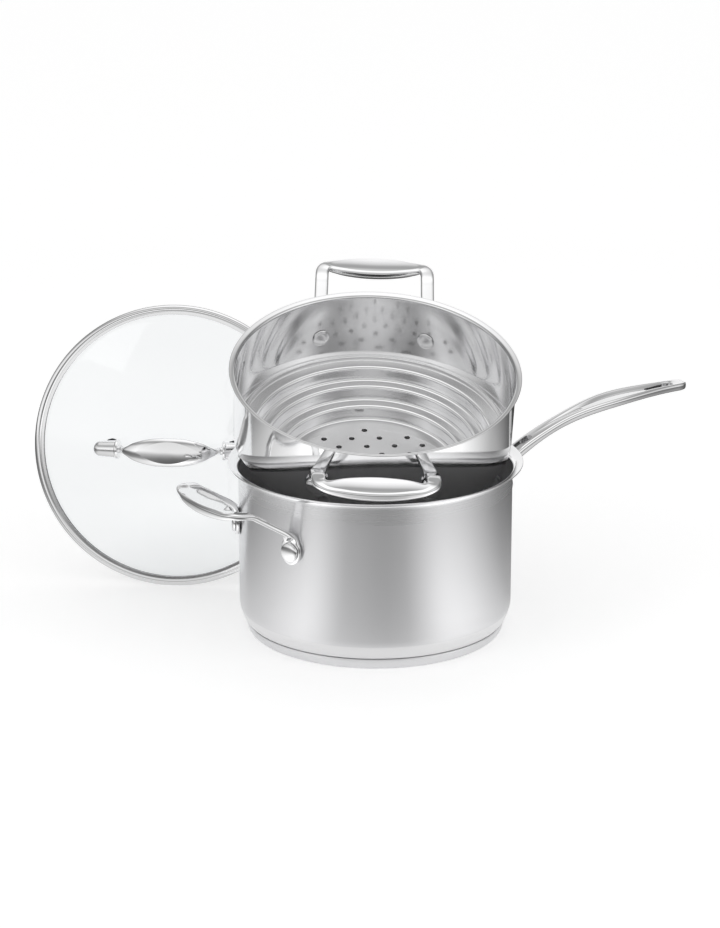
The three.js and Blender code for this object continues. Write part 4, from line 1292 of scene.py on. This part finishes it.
def studio():
    """Grey and white cards all round, which only the metal's reflections see."""
    material, tree, place = node_material("studio_tones")
    tree.nodes.remove(tree.nodes["Principled BSDF"])
    view_turn = {"Vector": place, "Angle": radians(-VIEW_TURN)}
    turned = added(tree, "VectorRotate", view_turn, rotation_type="Z_AXIS").outputs["Vector"]
    seen = split(tree, turned)
    bearing = computed(tree, "ARCTAN2", seen["X"], computed(tree, "MULTIPLY", seen["Y"], -1))
    above = computed(tree, "SUBTRACT", seen["Z"], AIM_HEIGHT * MM)
    elevation = computed(tree, "ARCTAN2", above, flattened(tree, place)[1])
    low, sides = (toned(tree, bearing, tones) for tones in (FLOOR_TONES, STUDIO_TONES))
    around = faded(tree, elevation, FLOOR_UP_TO, low, sides)
    around = faded(tree, elevation, STUDIO_SIDES_TO, around, CEILING_TONE)
    tone = computed(tree, "MULTIPLY", around, toned(tree, elevation, STUDIO_HEIGHTS))
    shader = added(tree, "Emission", {"Strength": tone})
    fed(tree, tree.nodes["Material Output"], {"Surface": shader.outputs["Emission"]})
    piece = stage_mesh("studio_cards", lathe(STUDIO_PROFILE, STUDIO_STEPS), material)
    for flag in ("visible_camera", "visible_diffuse", "visible_transmission", "visible_shadow"):
        setattr(piece, flag, False)


AMBIENT = 0.7  # light from all round that falls on the floor


def world():
    """White where it is seen, directly, in metal or through glass."""
    scene_world = bpy.data.worlds.new("studio")
    bpy.context.scene.world = scene_world
    scene_world.use_nodes = True
    tree = scene_world.node_tree
    colour = tinted(tree, seen_ray(tree), [AMBIENT] * 3, WHITE[:3])
    fed(tree, tree.nodes["Background"], {"Color": colour})


def view_direction(bearing, elevation):
    """From the set towards a place at a bearing from its front."""
    a, e = radians(VIEW_TURN + bearing), radians(elevation)
    return Vector((sin(a) * cos(e), -cos(a) * cos(e), sin(e)))


LAMP_DISTANCE = 1.6
LAMP_SIZE = 0.6
LAMP_POWER = 1.5


def lamp(name, bearing, elevation):
    """A square softbox that faces the set."""
    light = bpy.data.lights.new(name, "AREA")
    light.size = LAMP_SIZE
    light.energy = LAMP_POWER
    softbox = linked(name, light)
    away = view_direction(bearing, elevation)
    softbox.location = Vector((0, 0, AIM_HEIGHT * MM)) + away * LAMP_DISTANCE
    softbox.rotation_euler = away.to_track_quat("Z", "Y").to_euler()
    softbox.visible_glossy = False


def camera():
    data = bpy.data.cameras.new("camera")
    data.sensor_width = SENSOR
    data.lens = SENSOR * FOCAL_PIXELS / FRAME_HEIGHT
    data.clip_end = CLIP_END
    right = turn("Z", VIEW_TURN) @ Vector((1, 0, 0))
    aim = right * AIM_RIGHT + Vector((0, 0, AIM_HEIGHT))
    back = view_direction(0, VIEW_ELEVATION)
    piece = linked("camera", data)
    piece.location = (aim + back * CAMERA_DISTANCE) * MM
    piece.rotation_euler = back.to_track_quat("Z", "Y").to_euler()
    bpy.context.scene.camera = piece


saucepan()
steamer()
lid()
carried_over()
floor()
world()
studio()
lamp("key_left", bearing=-50, elevation=38)
lamp("key_right", bearing=58, elevation=32)
camera()
bpy.context.scene.view_settings.view_transform = "Standard"
